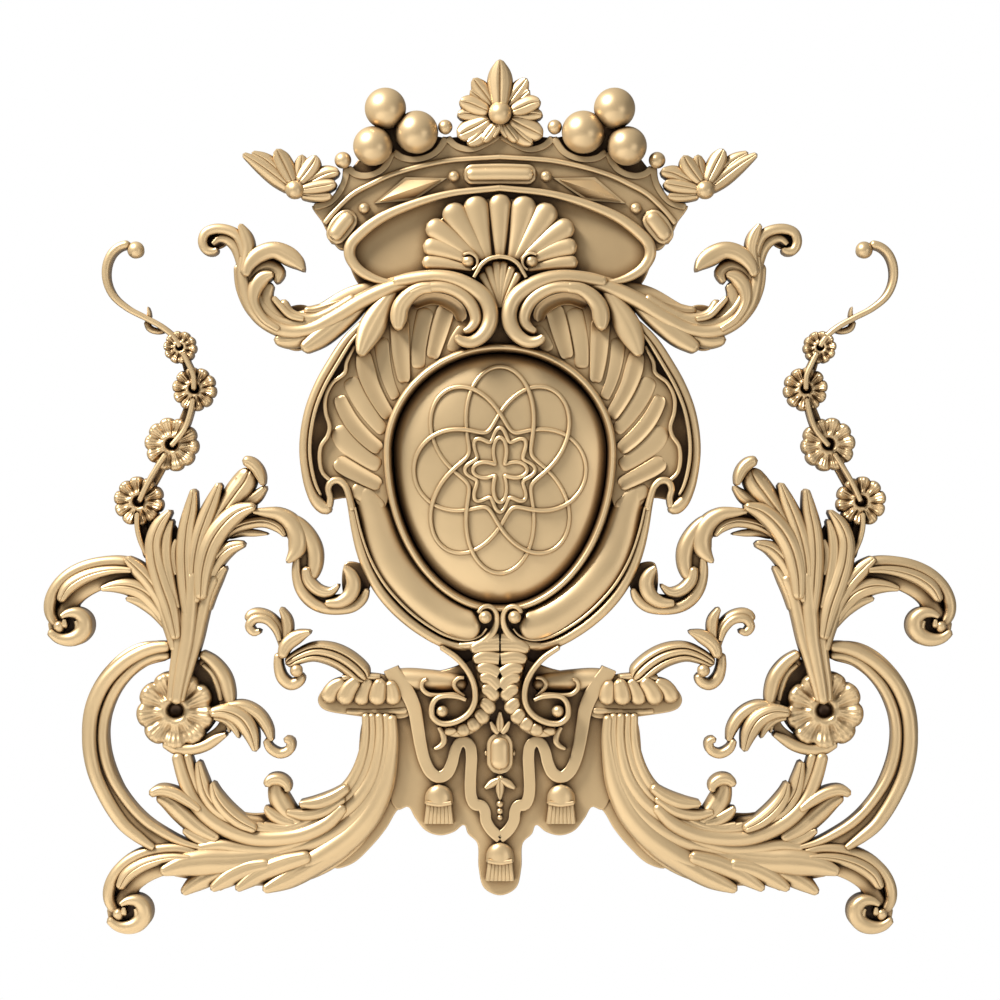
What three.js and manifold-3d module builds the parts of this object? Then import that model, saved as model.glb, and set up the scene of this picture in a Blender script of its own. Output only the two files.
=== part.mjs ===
// A cast crest applique: a crown over an oval cartouche, held by leafy scrolls, with two
// flower garlands and a draped lambrequin with tassels below. One casting with a flat back.
// Millimetres. X runs across, +Z is up, the relief faces -Y and the back lies on y = 0.
// The origin is on the back, behind the cartouche, where the crest is fixed to its panel.

import * as THREE from "three";
import { mergeVertices } from "three/addons/utils/BufferGeometryUtils.js";
import Module from "manifold-3d";

const wasm = await Module();
wasm.setup();

// Driving sizes
const overallWidth = 302;
const plateThickness = 2.6;

// Heights of the relief above the back
const height = {
  web: plateThickness,
  twig: 4,
  cloth: 5.4,
  field: 5.8,
  strip: 7,
  cap: 5.6,
  band: 7,
  under: 7.4,
  ring: 8,
  fillet: 8.4,
  flower: 9,
  rim: 9.6,
  leaf: 10,
  bead: 10.4,
  shell: 11,
  frame: 12,
  trunk: 13,
  curl: 13.6,
  pearl: 15,
  volute: 17,
};

// The carving is drawn on a grid this many units wide, with y running down the sheet
const grid = { width: 915, centre: 500, mountLevel: 475 };
const unit = overallWidth / grid.width;
const across = (x) => (x - grid.centre) * unit;
const up = (y) => (grid.mountLevel - y) * unit;

// Raw forms reach this far behind the back before it is cut flat
const behind = 1;

// A closed geometry as a solid whose faces point outwards
function solidOf(geometry) {
  geometry.deleteAttribute("normal");
  geometry.deleteAttribute("uv");
  const merged = mergeVertices(geometry, 1e-4);
  const corners = merged.index.array;
  const triangles = [];
  for (let i = 0; i < corners.length; i += 3) {
    const [a, b, c] = corners.slice(i, i + 3);
    if (a !== b && b !== c && c !== a) triangles.push([a, b, c]);
  }
  const vertProperties = new Float32Array(merged.attributes.position.array);
  const solid = (order) =>
    new wasm.Manifold(new wasm.Mesh({
      numProp: 3,
      vertProperties,
      triVerts: new Uint32Array(triangles.flatMap(order)),
    }));
  const made = solid(([a, b, c]) => [a, b, c]);
  return made.volume() > 0 ? made : solid(([a, b, c]) => [a, c, b]);
}

// Rings of equal length joined into one skin, closed by a cap at each end unless it is a loop
function skinOf(rings, loop = false) {
  const size = rings[0].length;
  const triangles = [];
  const last = loop ? rings.length : rings.length - 1;
  for (let i = 0; i < last; i += 1) {
    const near = i * size;
    const far = ((i + 1) % rings.length) * size;
    for (let j = 0; j < size; j += 1) {
      const next = (j + 1) % size;
      triangles.push([near + j, near + next, far + next], [near + j, far + next, far + j]);
    }
  }
  if (!loop) {
    const end = (rings.length - 1) * size;
    for (let j = 1; j < size - 1; j += 1) {
      triangles.push([0, j + 1, j], [end, end + j, end + j + 1]);
    }
  }
  const geometry = new THREE.BufferGeometry();
  geometry.setAttribute("position", new THREE.Float32BufferAttribute(rings.flat(2), 3));
  geometry.setIndex(triangles.flat());
  return solidOf(geometry);
}

// Cross-sections of a carved stroke, as [share of half width, share of the rise over the edge]
const sections = {
  ridge: [[-1, 0], [0, 1], [1, 0]],
  tube: [[-1, 0], [-0.6, 0.9], [0.6, 0.9], [1, 0]],
  flat: [[-1, 1], [1, 1]],
  roof: [[0, 1]],
};

// A carved stroke along a line of [x, y, half width], standing on the back
function stroke(top, line, options = {}) {
  const { section = "ridge", edge = 0.6, loop = false, fall = 1 } = options;
  const points = line.map(([x, y, w]) => new THREE.Vector3(across(x), up(y), w * unit));
  const curve = new THREE.CatmullRomCurve3(points, loop, "centripetal");
  const count = loop ? points.length : points.length - 1;
  const rings = [];
  for (let i = 0; i < count + (loop ? 0 : 1); i += 1) {
    const t = i / count;
    const at = curve.getPoint(t);
    const ahead = curve.getTangent(t);
    const length = Math.hypot(ahead.x, ahead.y);
    const side = [-ahead.y / length, ahead.x / length];
    const crown = top * THREE.MathUtils.lerp(1, fall, t);
    const place = (share, level) => [
      at.x + side[0] * at.z * share,
      -level,
      at.y + side[1] * at.z * share,
    ];
    const skin = sections[section].map(([s, rise]) => {
      return place(s, crown * THREE.MathUtils.lerp(edge, 1, rise));
    });
    const foot = section === "roof" ? 1 + behind / crown : 1;
    rings.push([place(-foot, -behind), ...skin, place(foot, -behind)]);
  }
  return skinOf(rings, loop);
}

// A level plate with a drawn outline
function plate(top, outline) {
  const corners = outline.map(([x, y]) => new THREE.Vector2(across(x), up(y)));
  const geometry = new THREE.ExtrudeGeometry(new THREE.Shape(corners), {
    depth: top + behind,
    bevelEnabled: false,
  });
  geometry.translate(0, 0, -behind);
  geometry.rotateX(Math.PI / 2);
  return solidOf(geometry);
}

// The drawn half of an outline, from the centre line round to it again, and its reflection
function bothHalves(half) {
  const far = half.filter(([x]) => x !== grid.centre).reverse();
  return [...half, ...far.map(([x, y]) => [2 * grid.centre - x, y])];
}

// The front half of a ball of a radius in grid units, on a straight post
function ball(x, y, radius, top, { around = 7, levels = 2 } = {}) {
  const r = radius * unit;
  const centre = top - r;
  const profile = [new THREE.Vector2(0, -behind)];
  profile.push(new THREE.Vector2(r, -behind));
  for (let i = 0; i < levels; i += 1) {
    const angle = (Math.PI / 2) * (i / levels);
    profile.push(new THREE.Vector2(r * Math.cos(angle), centre + r * Math.sin(angle)));
  }
  profile.push(new THREE.Vector2(0, top));
  const geometry = new THREE.LatheGeometry(profile, around);
  geometry.rotateX(Math.PI);
  geometry.translate(across(x), 0, up(y));
  return solidOf(geometry);
}

// A flower of eight petals that rise from notched tips to an eye at the middle
function flower(x, y, radius, top) {
  const steps = 2 * 8;
  const loopAt = (share, level, notch) => {
    const ring = [];
    for (let i = 0; i < steps; i += 1) {
      const angle = (2 * Math.PI * i) / steps;
      const r = radius * unit * share * (i % 2 ? notch : 1);
      ring.push([across(x) + r * Math.cos(angle), -level, up(y) + r * Math.sin(angle)]);
    }
    return ring;
  };
  return skinOf([
    loopAt(0.05, -behind, 1),
    loopAt(1, -behind, 0.86),
    loopAt(1, top * 0.7, 0.86),
    loopAt(0.3, top, 1),
  ]);
}

// A long boss with round ends between two points
function boss(top, [x0, y0], [x1, y1], half) {
  const lean = (share, w) => [
    THREE.MathUtils.lerp(x0, x1, share),
    THREE.MathUtils.lerp(y0, y1, share),
    w * half,
  ];
  const line = [lean(0, 0.4), lean(0.12, 0.95), lean(0.88, 0.95), lean(1, 0.4)];
  return stroke(top, line, { edge: 0.75 });
}

const joined = (solids) => solids.reduce((sum, solid) => sum.add(solid));

// The same solid on the other side of the centre line
function reflected(solid) {
  const mesh = solid.getMesh();
  const size = mesh.numProp;
  const vertProperties = new Float32Array(mesh.vertProperties);
  for (let i = 0; i < vertProperties.length; i += size) vertProperties[i] *= -1;
  const triVerts = new Uint32Array(mesh.triVerts);
  for (let i = 0; i < triVerts.length; i += 3) {
    [triVerts[i], triVerts[i + 1]] = [triVerts[i + 1], triVerts[i]];
  }
  return new wasm.Manifold(new wasm.Mesh({ numProp: size, vertProperties, triVerts }));
}

// Crown, left half: pearls, side palmette, scalloped border, fillets and gems
function crownSide() {
  const palmette = [
    [[296, 192, 6], [264, 167, 8], [242, 154, 2]],
    [[296, 190, 5], [276, 151, 6]],
    [[297, 190, 5], [312, 156, 8]],
    [[298, 191, 5], [337, 174, 8]],
    [[300, 194, 5], [333, 190, 8]],
  ];
  const scallops = [
    [[500, 134, 4], [486, 146, 3.6], [462, 149, 3.6], [447, 137, 4]],
    [[447, 137, 4], [432, 156, 3.6], [406, 159, 3.6], [392, 150, 4]],
    [[393, 150, 4], [379, 172, 3.6], [357, 175, 3.6], [346, 166, 4]],
    [[346, 166, 4], [340, 192, 4], [311, 203, 4]],
  ];
  const upperFillet = [
    [324, 224, 3], [350, 196, 3], [388, 176, 3], [440, 162, 3], [502, 157.5, 3],
  ];
  const capRim = [
    [502, 189, 3.4], [455, 194, 3.8], [405, 208, 4.6], [362, 230, 5], [350, 250, 5],
    [362, 269, 5], [402, 281, 5],
  ];
  const lozenge = [[375, 204, 1], [410, 189, 10], [446, 178, 1]];
  const bigPearl = { around: 12, levels: 3 };
  return [
    ...palmette.map((line) => stroke(height.flower, line, { section: "roof" })),
    ...scallops.map((line) => stroke(height.fillet, line, { section: "flat" })),
    stroke(height.fillet, upperFillet, { section: "flat" }),
    stroke(height.rim, capRim, { section: "flat" }),
    ball(295.3, 190.6, 9.6, height.leaf),
    ball(385.6, 109, 20.7, height.pearl, bigPearl),
    ball(416.8, 132.7, 21.6, height.pearl, bigPearl),
    ball(373.1, 146.6, 19.8, height.pearl, bigPearl),
    ball(445.3, 127.5, 7.3, height.rim),
    ball(343.1, 160.6, 8.4, height.rim),
    boss(height.rim, [332, 238], [352, 216], 8),
    stroke(height.fillet, lozenge, { section: "roof" }),
  ];
}

// Side leaves of the top palmette, left half
function topPalmetteSide() {
  const leaves = [
    [[495, 108, 5], [483, 90, 9], [474, 78, 3]],
    [[491, 112, 5], [466, 99, 6]],
    [[492, 114, 5], [457, 112, 6]],
    [[492, 118, 6], [474, 128, 11], [456, 138, 5]],
    [[496, 122, 5], [480, 140, 10]],
  ];
  return leaves.map((line) => stroke(height.flower, line, { section: "roof" }));
}

// Leafy arm that springs from the big volute towards the upper left
function upperArm() {
  const under = [
    [[303, 306, 2.5], [330, 306, 6], [372, 289, 7]],
    [[279, 300, 3], [290, 315, 6], [318, 315, 6]],
    [[272, 340, 3], [292, 340, 9], [335, 320, 7]],
  ];
  const body = [
    [233, 250, 7], [241, 278, 7], [250, 303, 9], [268, 321, 11], [296, 328, 12],
    [332, 317, 12], [366, 297, 10], [400, 285, 8],
  ];
  const hook = [
    [239, 262, 6], [235, 244, 7], [219, 231, 6.5], [206, 236, 6.5], [206, 248, 6],
    [219, 251, 3],
  ];
  const leaves = [
    [[244, 266, 5], [247, 244, 7], [239, 226, 2.5]],
    [[244, 270, 6], [260, 252, 9], [284, 255, 11], [304, 270, 2]],
    [[250, 303, 7], [254, 285, 9], [271, 277, 4]],
    [[299, 350, 3], [322, 337, 11], [366, 304, 6]],
  ];
  const facing = [
    [[361, 356, 2], [368, 336, 14], [380, 312, 12], [398, 290, 6]],
    [[399, 330, 2.5], [400, 308, 9], [420, 288, 7]],
  ];
  return [
    ...under.map((line) => stroke(height.under, line, { section: "roof" })),
    stroke(height.leaf, body, { edge: 0.7 }),
    stroke(height.curl, hook, { edge: 0.7, fall: 0.85 }),
    ...leaves.map((line) => stroke(height.shell, line, { section: "roof" })),
    ...facing.map((line) => stroke(height.frame, line)),
  ];
}

// Volute that rolls in beside the centre line above the oval
function topVolute() {
  const roll = [
    [404, 284, 7], [436, 277, 7.5], [466, 285, 8], [484, 300, 8], [489, 319, 8],
    [480, 335, 8], [461, 340, 6],
  ];
  const channel = [[410, 298, 8], [440, 290, 7], [466, 304, 8], [470, 322, 8]];
  return [
    stroke(height.shell, channel, { section: "flat" }),
    stroke(height.volute, roll, { section: "tube", edge: 0.75 }),
  ];
}

// The shell over the volutes, left half with the middle flute, and its small curl
function topShell() {
  const flutes = [
    [[500, 262, 3], [500, 206, 14], [500, 195, 9]],
    [[492, 262, 3], [478, 207, 13], [474, 197, 8]],
    [[486, 262, 3], [456, 213, 12], [449, 206, 7]],
    [[478, 266, 3], [441, 229, 11], [431, 226, 7]],
    [[474, 268, 3], [440, 246, 9], [427, 246, 5]],
    [[476, 270, 3], [425, 262, 7]],
  ];
  return [
    ...flutes.map((line) => stroke(height.leaf, line, { section: "roof" })),
    ball(468.9, 262.1, 8, height.frame),
  ];
}

// Cartouche: rim, notched hook, lower frame band and small curl, left half
function cartoucheSide() {
  const upperRim = [
    [374, 312, 3], [343, 345, 5.5], [318, 388, 5.5], [304, 440, 5.5], [307, 484, 6],
    [324, 510, 7], [332, 504, 4], [330, 484, 3.6], [339, 480, 3.6], [350, 502, 3.4],
  ];
  const outerBead = [
    [350, 502, 3.4], [359, 538, 4.5], [377, 574, 5], [400, 607, 5], [428, 631, 5],
    [460, 643, 5], [484, 636, 5], [495, 620, 4.5], [487, 607, 3],
  ];
  const band = [
    [352, 480, 8], [368, 512, 15], [384, 553, 16], [410, 594, 17], [444, 620, 14],
    [474, 626, 9],
  ];
  return [
    stroke(height.rim, upperRim, { section: "flat" }),
    stroke(height.rim, outerBead, { section: "flat" }),
    stroke(height.frame, band, { edge: 0.7 }),
    ball(485, 616.7, 10, height.curl),
  ];
}

// The oval: a bead ring round a cushion that rises to its middle
function oval() {
  const around = 20;
  const halfWidth = 116;
  const upper = 108;
  const lower = 160;
  const middle = 452;
  const beadHalf = 3;
  const pointAt = (i, inset) => {
    const angle = (2 * Math.PI * i) / around;
    const reach = Math.cos(angle) > 0 ? upper : lower;
    return [
      grid.centre + (halfWidth - inset) * Math.sin(angle),
      middle - (reach - inset) * Math.cos(angle),
    ];
  };
  const bead = [];
  for (let i = 0; i < around; i += 1) bead.push([...pointAt(i, 0), beadHalf]);
  const cushion = [
    [0, -behind],
    [0, height.field],
    [24, height.leaf],
    [halfWidth - 1, height.shell],
  ].map(([inset, level]) => {
    const ring = [];
    for (let i = 0; i < around; i += 1) {
      const [x, y] = pointAt(i, inset);
      ring.push([across(x), -level, up(y)]);
    }
    return ring;
  });
  return [
    stroke(height.bead, bead, { section: "flat", loop: true }),
    skinOf(cushion),
  ];
}

// Garland of four flowers on a curled stem
function garland() {
  const stem = [
    [128, 245, 4], [112, 254, 4.2], [106, 275, 4], [116, 299, 3.4], [147, 318, 3],
    [168, 332, 3], [180, 348, 3],
  ];
  const twigs = [
    [[147, 320, 4], [158, 329, 4], [170, 335, 3]],
    [[180, 350, 4], [194, 385, 3.4]],
    [[194, 395, 4], [174, 440, 3.4]],
    [[168, 450, 3.4], [141, 496, 3.4]],
    [[138, 510, 4], [142, 546, 4], [158, 568, 4]],
  ];
  return [
    stroke(height.leaf, stem, { section: "roof", fall: 0.8 }),
    ball(136.5, 250.5, 8.6, height.shell),
    ...twigs.map((line) => stroke(height.twig, line, { section: "roof" })),
    flower(180, 347.4, 16.8, height.flower),
    flower(194.6, 389.3, 22.4, height.flower),
    flower(171.7, 444.7, 27.4, height.flower),
    flower(138.8, 501.5, 25.4, height.flower),
  ];
}

// Plume of leaves that stands on the ring flower
function plume() {
  const trunk = [
    [175, 704, 8], [182, 665, 11], [188, 632, 16], [185, 605, 24], [190, 580, 22],
    [197, 556, 14],
  ];
  const leaves = [
    [[100, 588, 2], [122, 583, 7], [146, 595, 8], [164, 614, 8]],
    [[125, 561, 5], [150, 580, 8], [170, 608, 8]],
    [[172, 512, 2], [155, 535, 8], [158, 560, 9], [170, 590, 9]],
    [[195, 492, 2], [187, 530, 8], [188, 580, 9]],
    [[220, 486, 2], [204, 519, 9], [193, 565, 9]],
    [[257, 507, 3], [226, 521, 9], [206, 554, 11], [200, 582, 9]],
    [[246, 545, 2], [219, 554, 8], [206, 576, 8]],
  ];
  const curled = [[220, 512, 6], [244, 487, 11], [254, 472, 11], [251, 461, 6]];
  return [
    stroke(height.trunk, trunk, { edge: 0.7 }),
    ...leaves.map((line) => stroke(height.shell, line, { section: "roof" })),
    stroke(height.frame, curled),
  ];
}

// Arm with a rolled end, drawn for the left volute and used again lower down
function rolledArm(shiftX, shiftY) {
  const arm = [
    [150, 578, 10], [118, 568, 13], [86, 572, 14], [62, 590, 14], [57, 618, 14],
  ];
  const roll = { x: 73, y: 624, radius: 21 };
  const moved = arm.map(([x, y, w]) => [x + shiftX, y + shiftY, w]);
  return [
    stroke(height.leaf, moved, { edge: 0.7 }),
    ball(roll.x + shiftX, roll.y + shiftY, roll.radius, height.curl, { around: 10 }),
  ];
}

// Right branch of the plume, curling down towards the cartouche
function rightBranch() {
  const outer = [
    [232, 530, 5], [262, 516, 7], [290, 520, 9], [311, 541, 11], [314, 566, 9],
    [306, 582, 8],
  ];
  const inner = [[240, 534, 3], [270, 530, 8], [291, 548, 8]];
  const stem = [
    [297, 562, 8], [306, 588, 10], [330, 602, 9], [351, 595, 10], [354, 578, 9],
    [345, 567, 3],
  ];
  const tie = [[352, 580, 6], [366, 568, 8]];
  return [
    stroke(height.leaf, outer, { edge: 0.7 }),
    stroke(height.under, inner, { section: "roof" }),
    stroke(height.leaf, stem, { edge: 0.7 }),
    stroke(height.web, tie, { section: "flat" }),
  ];
}

// Ring scroll round the flower
function ringScroll() {
  const hoop = [
    [170, 649, 10], [140, 655, 13], [112, 678, 14], [97, 710, 14], [96, 750, 14],
    [111, 792, 14], [137, 826, 13], [168, 844, 9], [195, 846, 5],
  ];
  const far = [
    [203, 659, 6], [223, 680, 9], [228, 712, 9], [215, 739, 9], [190, 749, 7],
    [162, 742, 4],
  ];
  const leaf = [
    [[213, 714, 6], [244, 723, 13], [256, 751, 3]],
    [[214, 716, 5], [231, 728, 7], [240, 739, 2]],
    [[228, 706, 4], [258, 713, 8], [270, 741, 7], [282, 750, 9], [288, 744, 6]],
  ];
  return [
    stroke(height.ring, hoop, { edge: 0.8 }),
    stroke(height.ring, far, { edge: 0.8 }),
    ...leaf.map((line) => stroke(height.leaf, line, { section: "roof" })),
    flower(176, 710, 39.5, height.leaf),
    ball(176, 711, 13, height.shell),
  ];
}

// Small scroll between the cap and the plume
function smallScroll() {
  const hook = [
    [284, 660, 6], [284, 636, 7], [268, 617, 6.5], [252, 617, 6.5], [249, 630, 5.5],
    [258, 633, 3],
  ];
  const tip = [[286, 640, 5], [288, 622, 5], [281, 608, 2]];
  const leaf = [[284, 658, 4], [294, 639, 7], [312, 633, 2]];
  const foot = [[283, 652, 7], [282, 669, 9], [298, 678, 9]];
  const tube = [[288, 658, 6], [318, 652, 11], [347, 664, 12], [366, 684, 11]];
  return [
    stroke(height.leaf, hook, { edge: 0.7 }),
    stroke(height.leaf, tip, { section: "roof" }),
    stroke(height.leaf, leaf, { section: "roof" }),
    stroke(height.leaf, foot, { edge: 0.7 }),
    stroke(height.ring, tube, { edge: 0.8 }),
  ];
}

// Gadrooned cap over the big lower scroll
function sideCap() {
  const lobes = [
    [[350, 680, 9], [331, 693, 11], [325, 706, 6]],
    [[360, 681, 8], [346, 697, 10], [346, 706, 6]],
    [[372, 681, 8], [368, 696, 10], [368, 706, 6]],
    [[384, 684, 6], [391, 697, 9], [392, 706, 5]],
  ];
  const shelf = [[338, 703, 8], [412, 706, 9]];
  return [
    ...lobes.map((line) => stroke(height.frame, line, { edge: 0.7 })),
    stroke(height.ring, shelf, { section: "flat" }),
  ];
}

// Big lower scroll and its leaves
function lowerScroll() {
  const outer = [
    [372, 708, 10], [371, 748, 11], [356, 784, 14], [326, 812, 18], [280, 825, 17],
    [232, 819, 13], [199, 796, 11], [187, 764, 7],
  ];
  const inner = [
    [389, 712, 8], [389, 752, 9], [376, 800, 13], [343, 838, 18], [302, 868, 19],
    [268, 881, 9],
  ];
  const low = [[352, 815, 10], [304, 850, 15], [240, 862, 13], [170, 866, 12]];
  const leaves = [
    [[300, 803, 2], [330, 800, 8], [356, 772, 8]],
    [[263, 806, 3], [284, 816, 9], [310, 818, 9]],
    [[304, 822, 9], [282, 803, 11], [276, 786, 8]],
    [[152, 793, 4], [178, 808, 11], [220, 833, 9]],
    [[199, 762, 3], [209, 788, 7], [236, 815, 8]],
    [[183, 832, 3], [212, 844, 8], [250, 848, 8]],
    [[183, 893, 3], [206, 879, 9], [236, 870, 8]],
    [[212, 887, 3], [236, 872, 10]],
    [[236, 887, 3], [264, 872, 11]],
  ];
  return [
    stroke(height.leaf, outer, { edge: 0.75 }),
    stroke(height.shell, inner, { edge: 0.7, fall: 0.85 }),
    stroke(height.leaf, low, { edge: 0.75 }),
    ...leaves.map((line) => stroke(height.leaf, line, { section: "roof" })),
  ];
}

// Neck under the oval: twisted horn with a wire scroll, left half
function neckSide() {
  const horn = [
    [488, 646, 12], [485, 675, 15], [478, 706, 14], [460, 728, 10], [444, 740, 4],
    [436, 748, 1.5],
  ];
  const wire = [
    [445, 648, 3], [465, 662, 3], [476, 688, 3], [468, 712, 3], [447, 723, 3],
    [434, 712, 3], [444, 698, 2.4],
  ];
  return [
    stroke(height.shell, horn),
    stroke(height.curl, wire, { section: "flat" }),
    ball(442.7, 710.7, 6.4, height.frame),
  ];
}

// A tassel hanging from the middle of its top: domed head over a flared skirt
function tassel(x, y, top) {
  const head = [[x, y, 7], [x, y + 8, 14], [x, y + 19, 14]];
  const skirt = [[x, y + 18, 11], [x, y + 40, 14.5]];
  return [
    stroke(1.2 * top, head, { edge: 0.75 }),
    stroke(top, skirt, { edge: 0.8 }),
  ];
}

// Drapery strip, roller and tassel, left half
function lambrequinSide() {
  const strip = [
    [386, 673, 7], [408, 692, 7.5], [419, 730, 6.4], [426, 762, 6], [441, 775, 5.6],
    [454, 762, 5.4], [463, 741, 4.8], [471, 752, 5.4], [470, 798, 5.4], [482, 808, 5.4],
    [500, 838, 5.4],
  ];
  const roller = [[384, 679, 9], [470, 681, 9]];
  return [
    stroke(height.strip, strip, { section: "flat" }),
    stroke(height.ring, roller, { edge: 0.75 }),
    ...tassel(439, 783, height.strip),
  ];
}

// What stands on the centre line: top palmette, middle gem, medallion and middle tassel
function centrePieces() {
  const topLeaf = [[500, 114, 9], [500, 84, 14], [500, 68, 9], [500, 61, 2]];
  const medallion = [[500, 731, 6], [500, 741, 13.4], [500, 765, 13.4], [500, 775, 6]];
  const pendant = [[500, 774, 3], [500, 788, 12], [500, 800, 4], [500, 820, 3]];
  return [
    stroke(height.leaf, topLeaf, { edge: 0.7 }),
    ball(500, 114, 11.7, height.frame),
    boss(height.rim, [462, 175], [538, 175], 10),
    stroke(height.ring, medallion, { edge: 0.9 }),
    stroke(height.strip, pendant, { edge: 0.8 }),
    ...tassel(500, 842, height.strip),
  ];
}

// Level plates that carry the relief: crown, cap, cartouche field, cloth and what joins them
function plates() {
  const crown = bothHalves([
    [500, 134], [471, 150], [447, 137], [418, 160], [392, 150], [367, 176], [346, 166],
    [341, 190], [309, 203], [339, 249], [370, 228], [430, 200], [500, 190],
  ]);
  const cap = bothHalves([
    [500, 189], [430, 200], [362, 230], [350, 250], [362, 269], [400, 290], [500, 300],
  ]);
  const field = bothHalves([
    [500, 280], [400, 298], [358, 342], [344, 374], [326, 396], [329, 430], [319, 460],
    [332, 484], [346, 488], [370, 560], [430, 630], [500, 650],
  ]);
  const backing = bothHalves([
    [500, 122], [440, 125], [388, 112], [366, 150], [330, 185], [350, 266], [385, 290],
    [340, 350], [310, 410], [304, 480], [324, 512], [344, 508], [362, 560], [402, 620],
    [462, 664], [462, 674], [500, 680],
  ]);
  const cloth = bothHalves([
    [500, 640], [470, 660], [462, 673], [396, 668], [378, 678], [396, 716], [394, 765],
    [366, 834], [386, 828], [398, 809], [411, 808], [420, 829], [440, 836], [464, 826],
    [477, 842], [479, 880], [500, 895.5],
  ]);
  return [
    plate(height.band, crown),
    plate(height.cap, cap),
    plate(height.field, field),
    plate(height.web, backing),
    plate(height.cloth, cloth),
  ];
}

// The casting: the left half, its reflection and the middle, cut flat at the back
function casting() {
  const left = joined([
    ...crownSide(),
    ...topPalmetteSide(),
    ...upperArm(),
    ...topVolute(),
    ...topShell(),
    ...cartoucheSide(),
    ...garland(),
    ...plume(),
    ...rolledArm(0, 0),
    ...rolledArm(59, 286.5),
    ...rightBranch(),
    ...ringScroll(),
    ...smallScroll(),
    ...sideCap(),
    ...lowerScroll(),
    ...neckSide(),
    ...lambrequinSide(),
  ]);
  const whole = joined([left, reflected(left), ...plates(), ...oval(), ...centrePieces()]);
  const deep = 10;
  const cutter = new THREE.BoxGeometry(2 * overallWidth, deep, 2 * overallWidth);
  cutter.translate(0, deep / 2, 0);
  return whole.subtract(solidOf(cutter));
}

// A solid as a mesh with its material
function meshOf(name, solid, material) {
  const { vertProperties, triVerts } = solid.getMesh();
  const geometry = new THREE.BufferGeometry();
  geometry.setAttribute("position", new THREE.BufferAttribute(vertProperties, 3));
  geometry.setIndex(new THREE.BufferAttribute(triVerts, 1));
  geometry.computeVertexNormals();
  const mesh = new THREE.Mesh(geometry, material);
  mesh.name = name;
  return mesh;
}

const gildedCopper = new THREE.MeshStandardMaterial({
  color: 0xc2a06c,
  roughness: 0.42,
  metalness: 0.9,
});

const crest = new THREE.Group();
crest.name = "crest_applique";
crest.add(meshOf("crest", casting(), gildedCopper));

export default crest;
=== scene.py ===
"""Looks for a cast copper crest applique: every form is carved again at a fine pitch."""

import math

import bpy
import numpy as np
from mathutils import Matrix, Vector


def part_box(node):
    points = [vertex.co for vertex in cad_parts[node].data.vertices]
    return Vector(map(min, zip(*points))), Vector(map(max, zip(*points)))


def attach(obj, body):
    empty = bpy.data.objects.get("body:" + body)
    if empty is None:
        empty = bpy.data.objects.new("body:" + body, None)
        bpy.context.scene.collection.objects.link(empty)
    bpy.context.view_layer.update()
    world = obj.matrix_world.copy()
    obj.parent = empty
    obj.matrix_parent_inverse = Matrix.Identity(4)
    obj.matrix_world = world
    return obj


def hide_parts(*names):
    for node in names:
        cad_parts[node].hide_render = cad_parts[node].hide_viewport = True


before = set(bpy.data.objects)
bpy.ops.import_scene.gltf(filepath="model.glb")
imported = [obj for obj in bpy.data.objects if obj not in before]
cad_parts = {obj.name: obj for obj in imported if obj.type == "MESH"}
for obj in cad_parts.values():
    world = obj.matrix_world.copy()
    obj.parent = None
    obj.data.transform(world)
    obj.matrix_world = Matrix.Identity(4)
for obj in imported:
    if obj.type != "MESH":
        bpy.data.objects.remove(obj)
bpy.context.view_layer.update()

# The drawing grid: x runs across, y down the sheet, and the centre line is at CENTRE
CENTRE = 500
MOUNT_LEVEL = 475
DRAWN_WIDTH = 913.2
LOW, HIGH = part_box("crest")
UNIT = (HIGH.x - LOW.x) / DRAWN_WIDTH
MM = 0.001

# Heights of the relief above the back, in millimetres
WEB = 2.6
TWIG = 4.4
FIELD = 5.4
CAP = 5.4
CLOTH = 6.0
BAND = 6.8
STRIP = 7.4
UNDER = 7.6
RING = 8.2
FLUTE = 8.4
FILLET = 8.4
LOBE = 9.0
FLOWER = 9.0
RIM = 9.8
LEAF = 10.2
SHELL = 11.2
FRAME_BAND = 12.0
TRUNK = 13.0
CURL = 13.8
PEARL = 15.0
VOLUTE = 16.5

# Where walls meet the back: a hair in front of it, in millimetres
FOOT = 0.1
# A veined leaf's tip is at least this share of the half width before it
FINEST_TIP = 0.32


# Curves and cross-sections


def spline(points, loop=False, per_span=24):
    """Dense points of a centripetal Catmull-Rom curve: cubic pieces whose slope at each
    given point is the average of the slopes on both sides, weighted by knot distance."""
    p = np.array(points, float)
    if loop:
        p = np.vstack([p[-1], p, p[0], p[1]])
    gaps = np.sqrt(np.maximum(np.hypot(*np.diff(p[:, :2], axis=0).T), 1e-6))
    slopes = np.diff(p, axis=0) / gaps[:, None]
    tangents = np.empty_like(p)
    tangents[0] = slopes[0]
    tangents[-1] = slopes[-1]
    before, after = gaps[:-1, None], gaps[1:, None]
    tangents[1:-1] = (slopes[:-1] * after + slopes[1:] * before) / (before + after)
    u = np.linspace(0, 1, per_span, endpoint=False)[None, :, None]
    step = gaps[:, None, None]
    a, b = p[:-1, None, :], p[1:, None, :]
    ta, tb = tangents[:-1, None, :] * step, tangents[1:, None, :] * step
    curve = (
        a * (2 * u**3 - 3 * u**2 + 1)
        + ta * (u**3 - 2 * u**2 + u)
        + b * (3 * u**2 - 2 * u**3)
        + tb * (u**3 - u**2)
    )
    if loop:
        return curve[1:-1].reshape(-1, p.shape[1])
    return np.vstack([curve.reshape(-1, p.shape[1]), p[-1]])


def stations(points, loop=False, pitch=1.85):
    """Points spaced evenly along the smooth line through the given ones."""
    dense = spline(points, loop)
    if loop:
        dense = np.vstack([dense, dense[0]])
    walked = np.concatenate([[0], np.cumsum(np.hypot(*np.diff(dense[:, :2], axis=0).T))])
    count = int(np.clip(walked[-1] / pitch, 12, 320))
    at = np.linspace(0, walked[-1], count, endpoint=not loop)
    line = np.stack([np.interp(at, walked, column) for column in dense.T], 1)
    return line, at, walked[-1]


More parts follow.
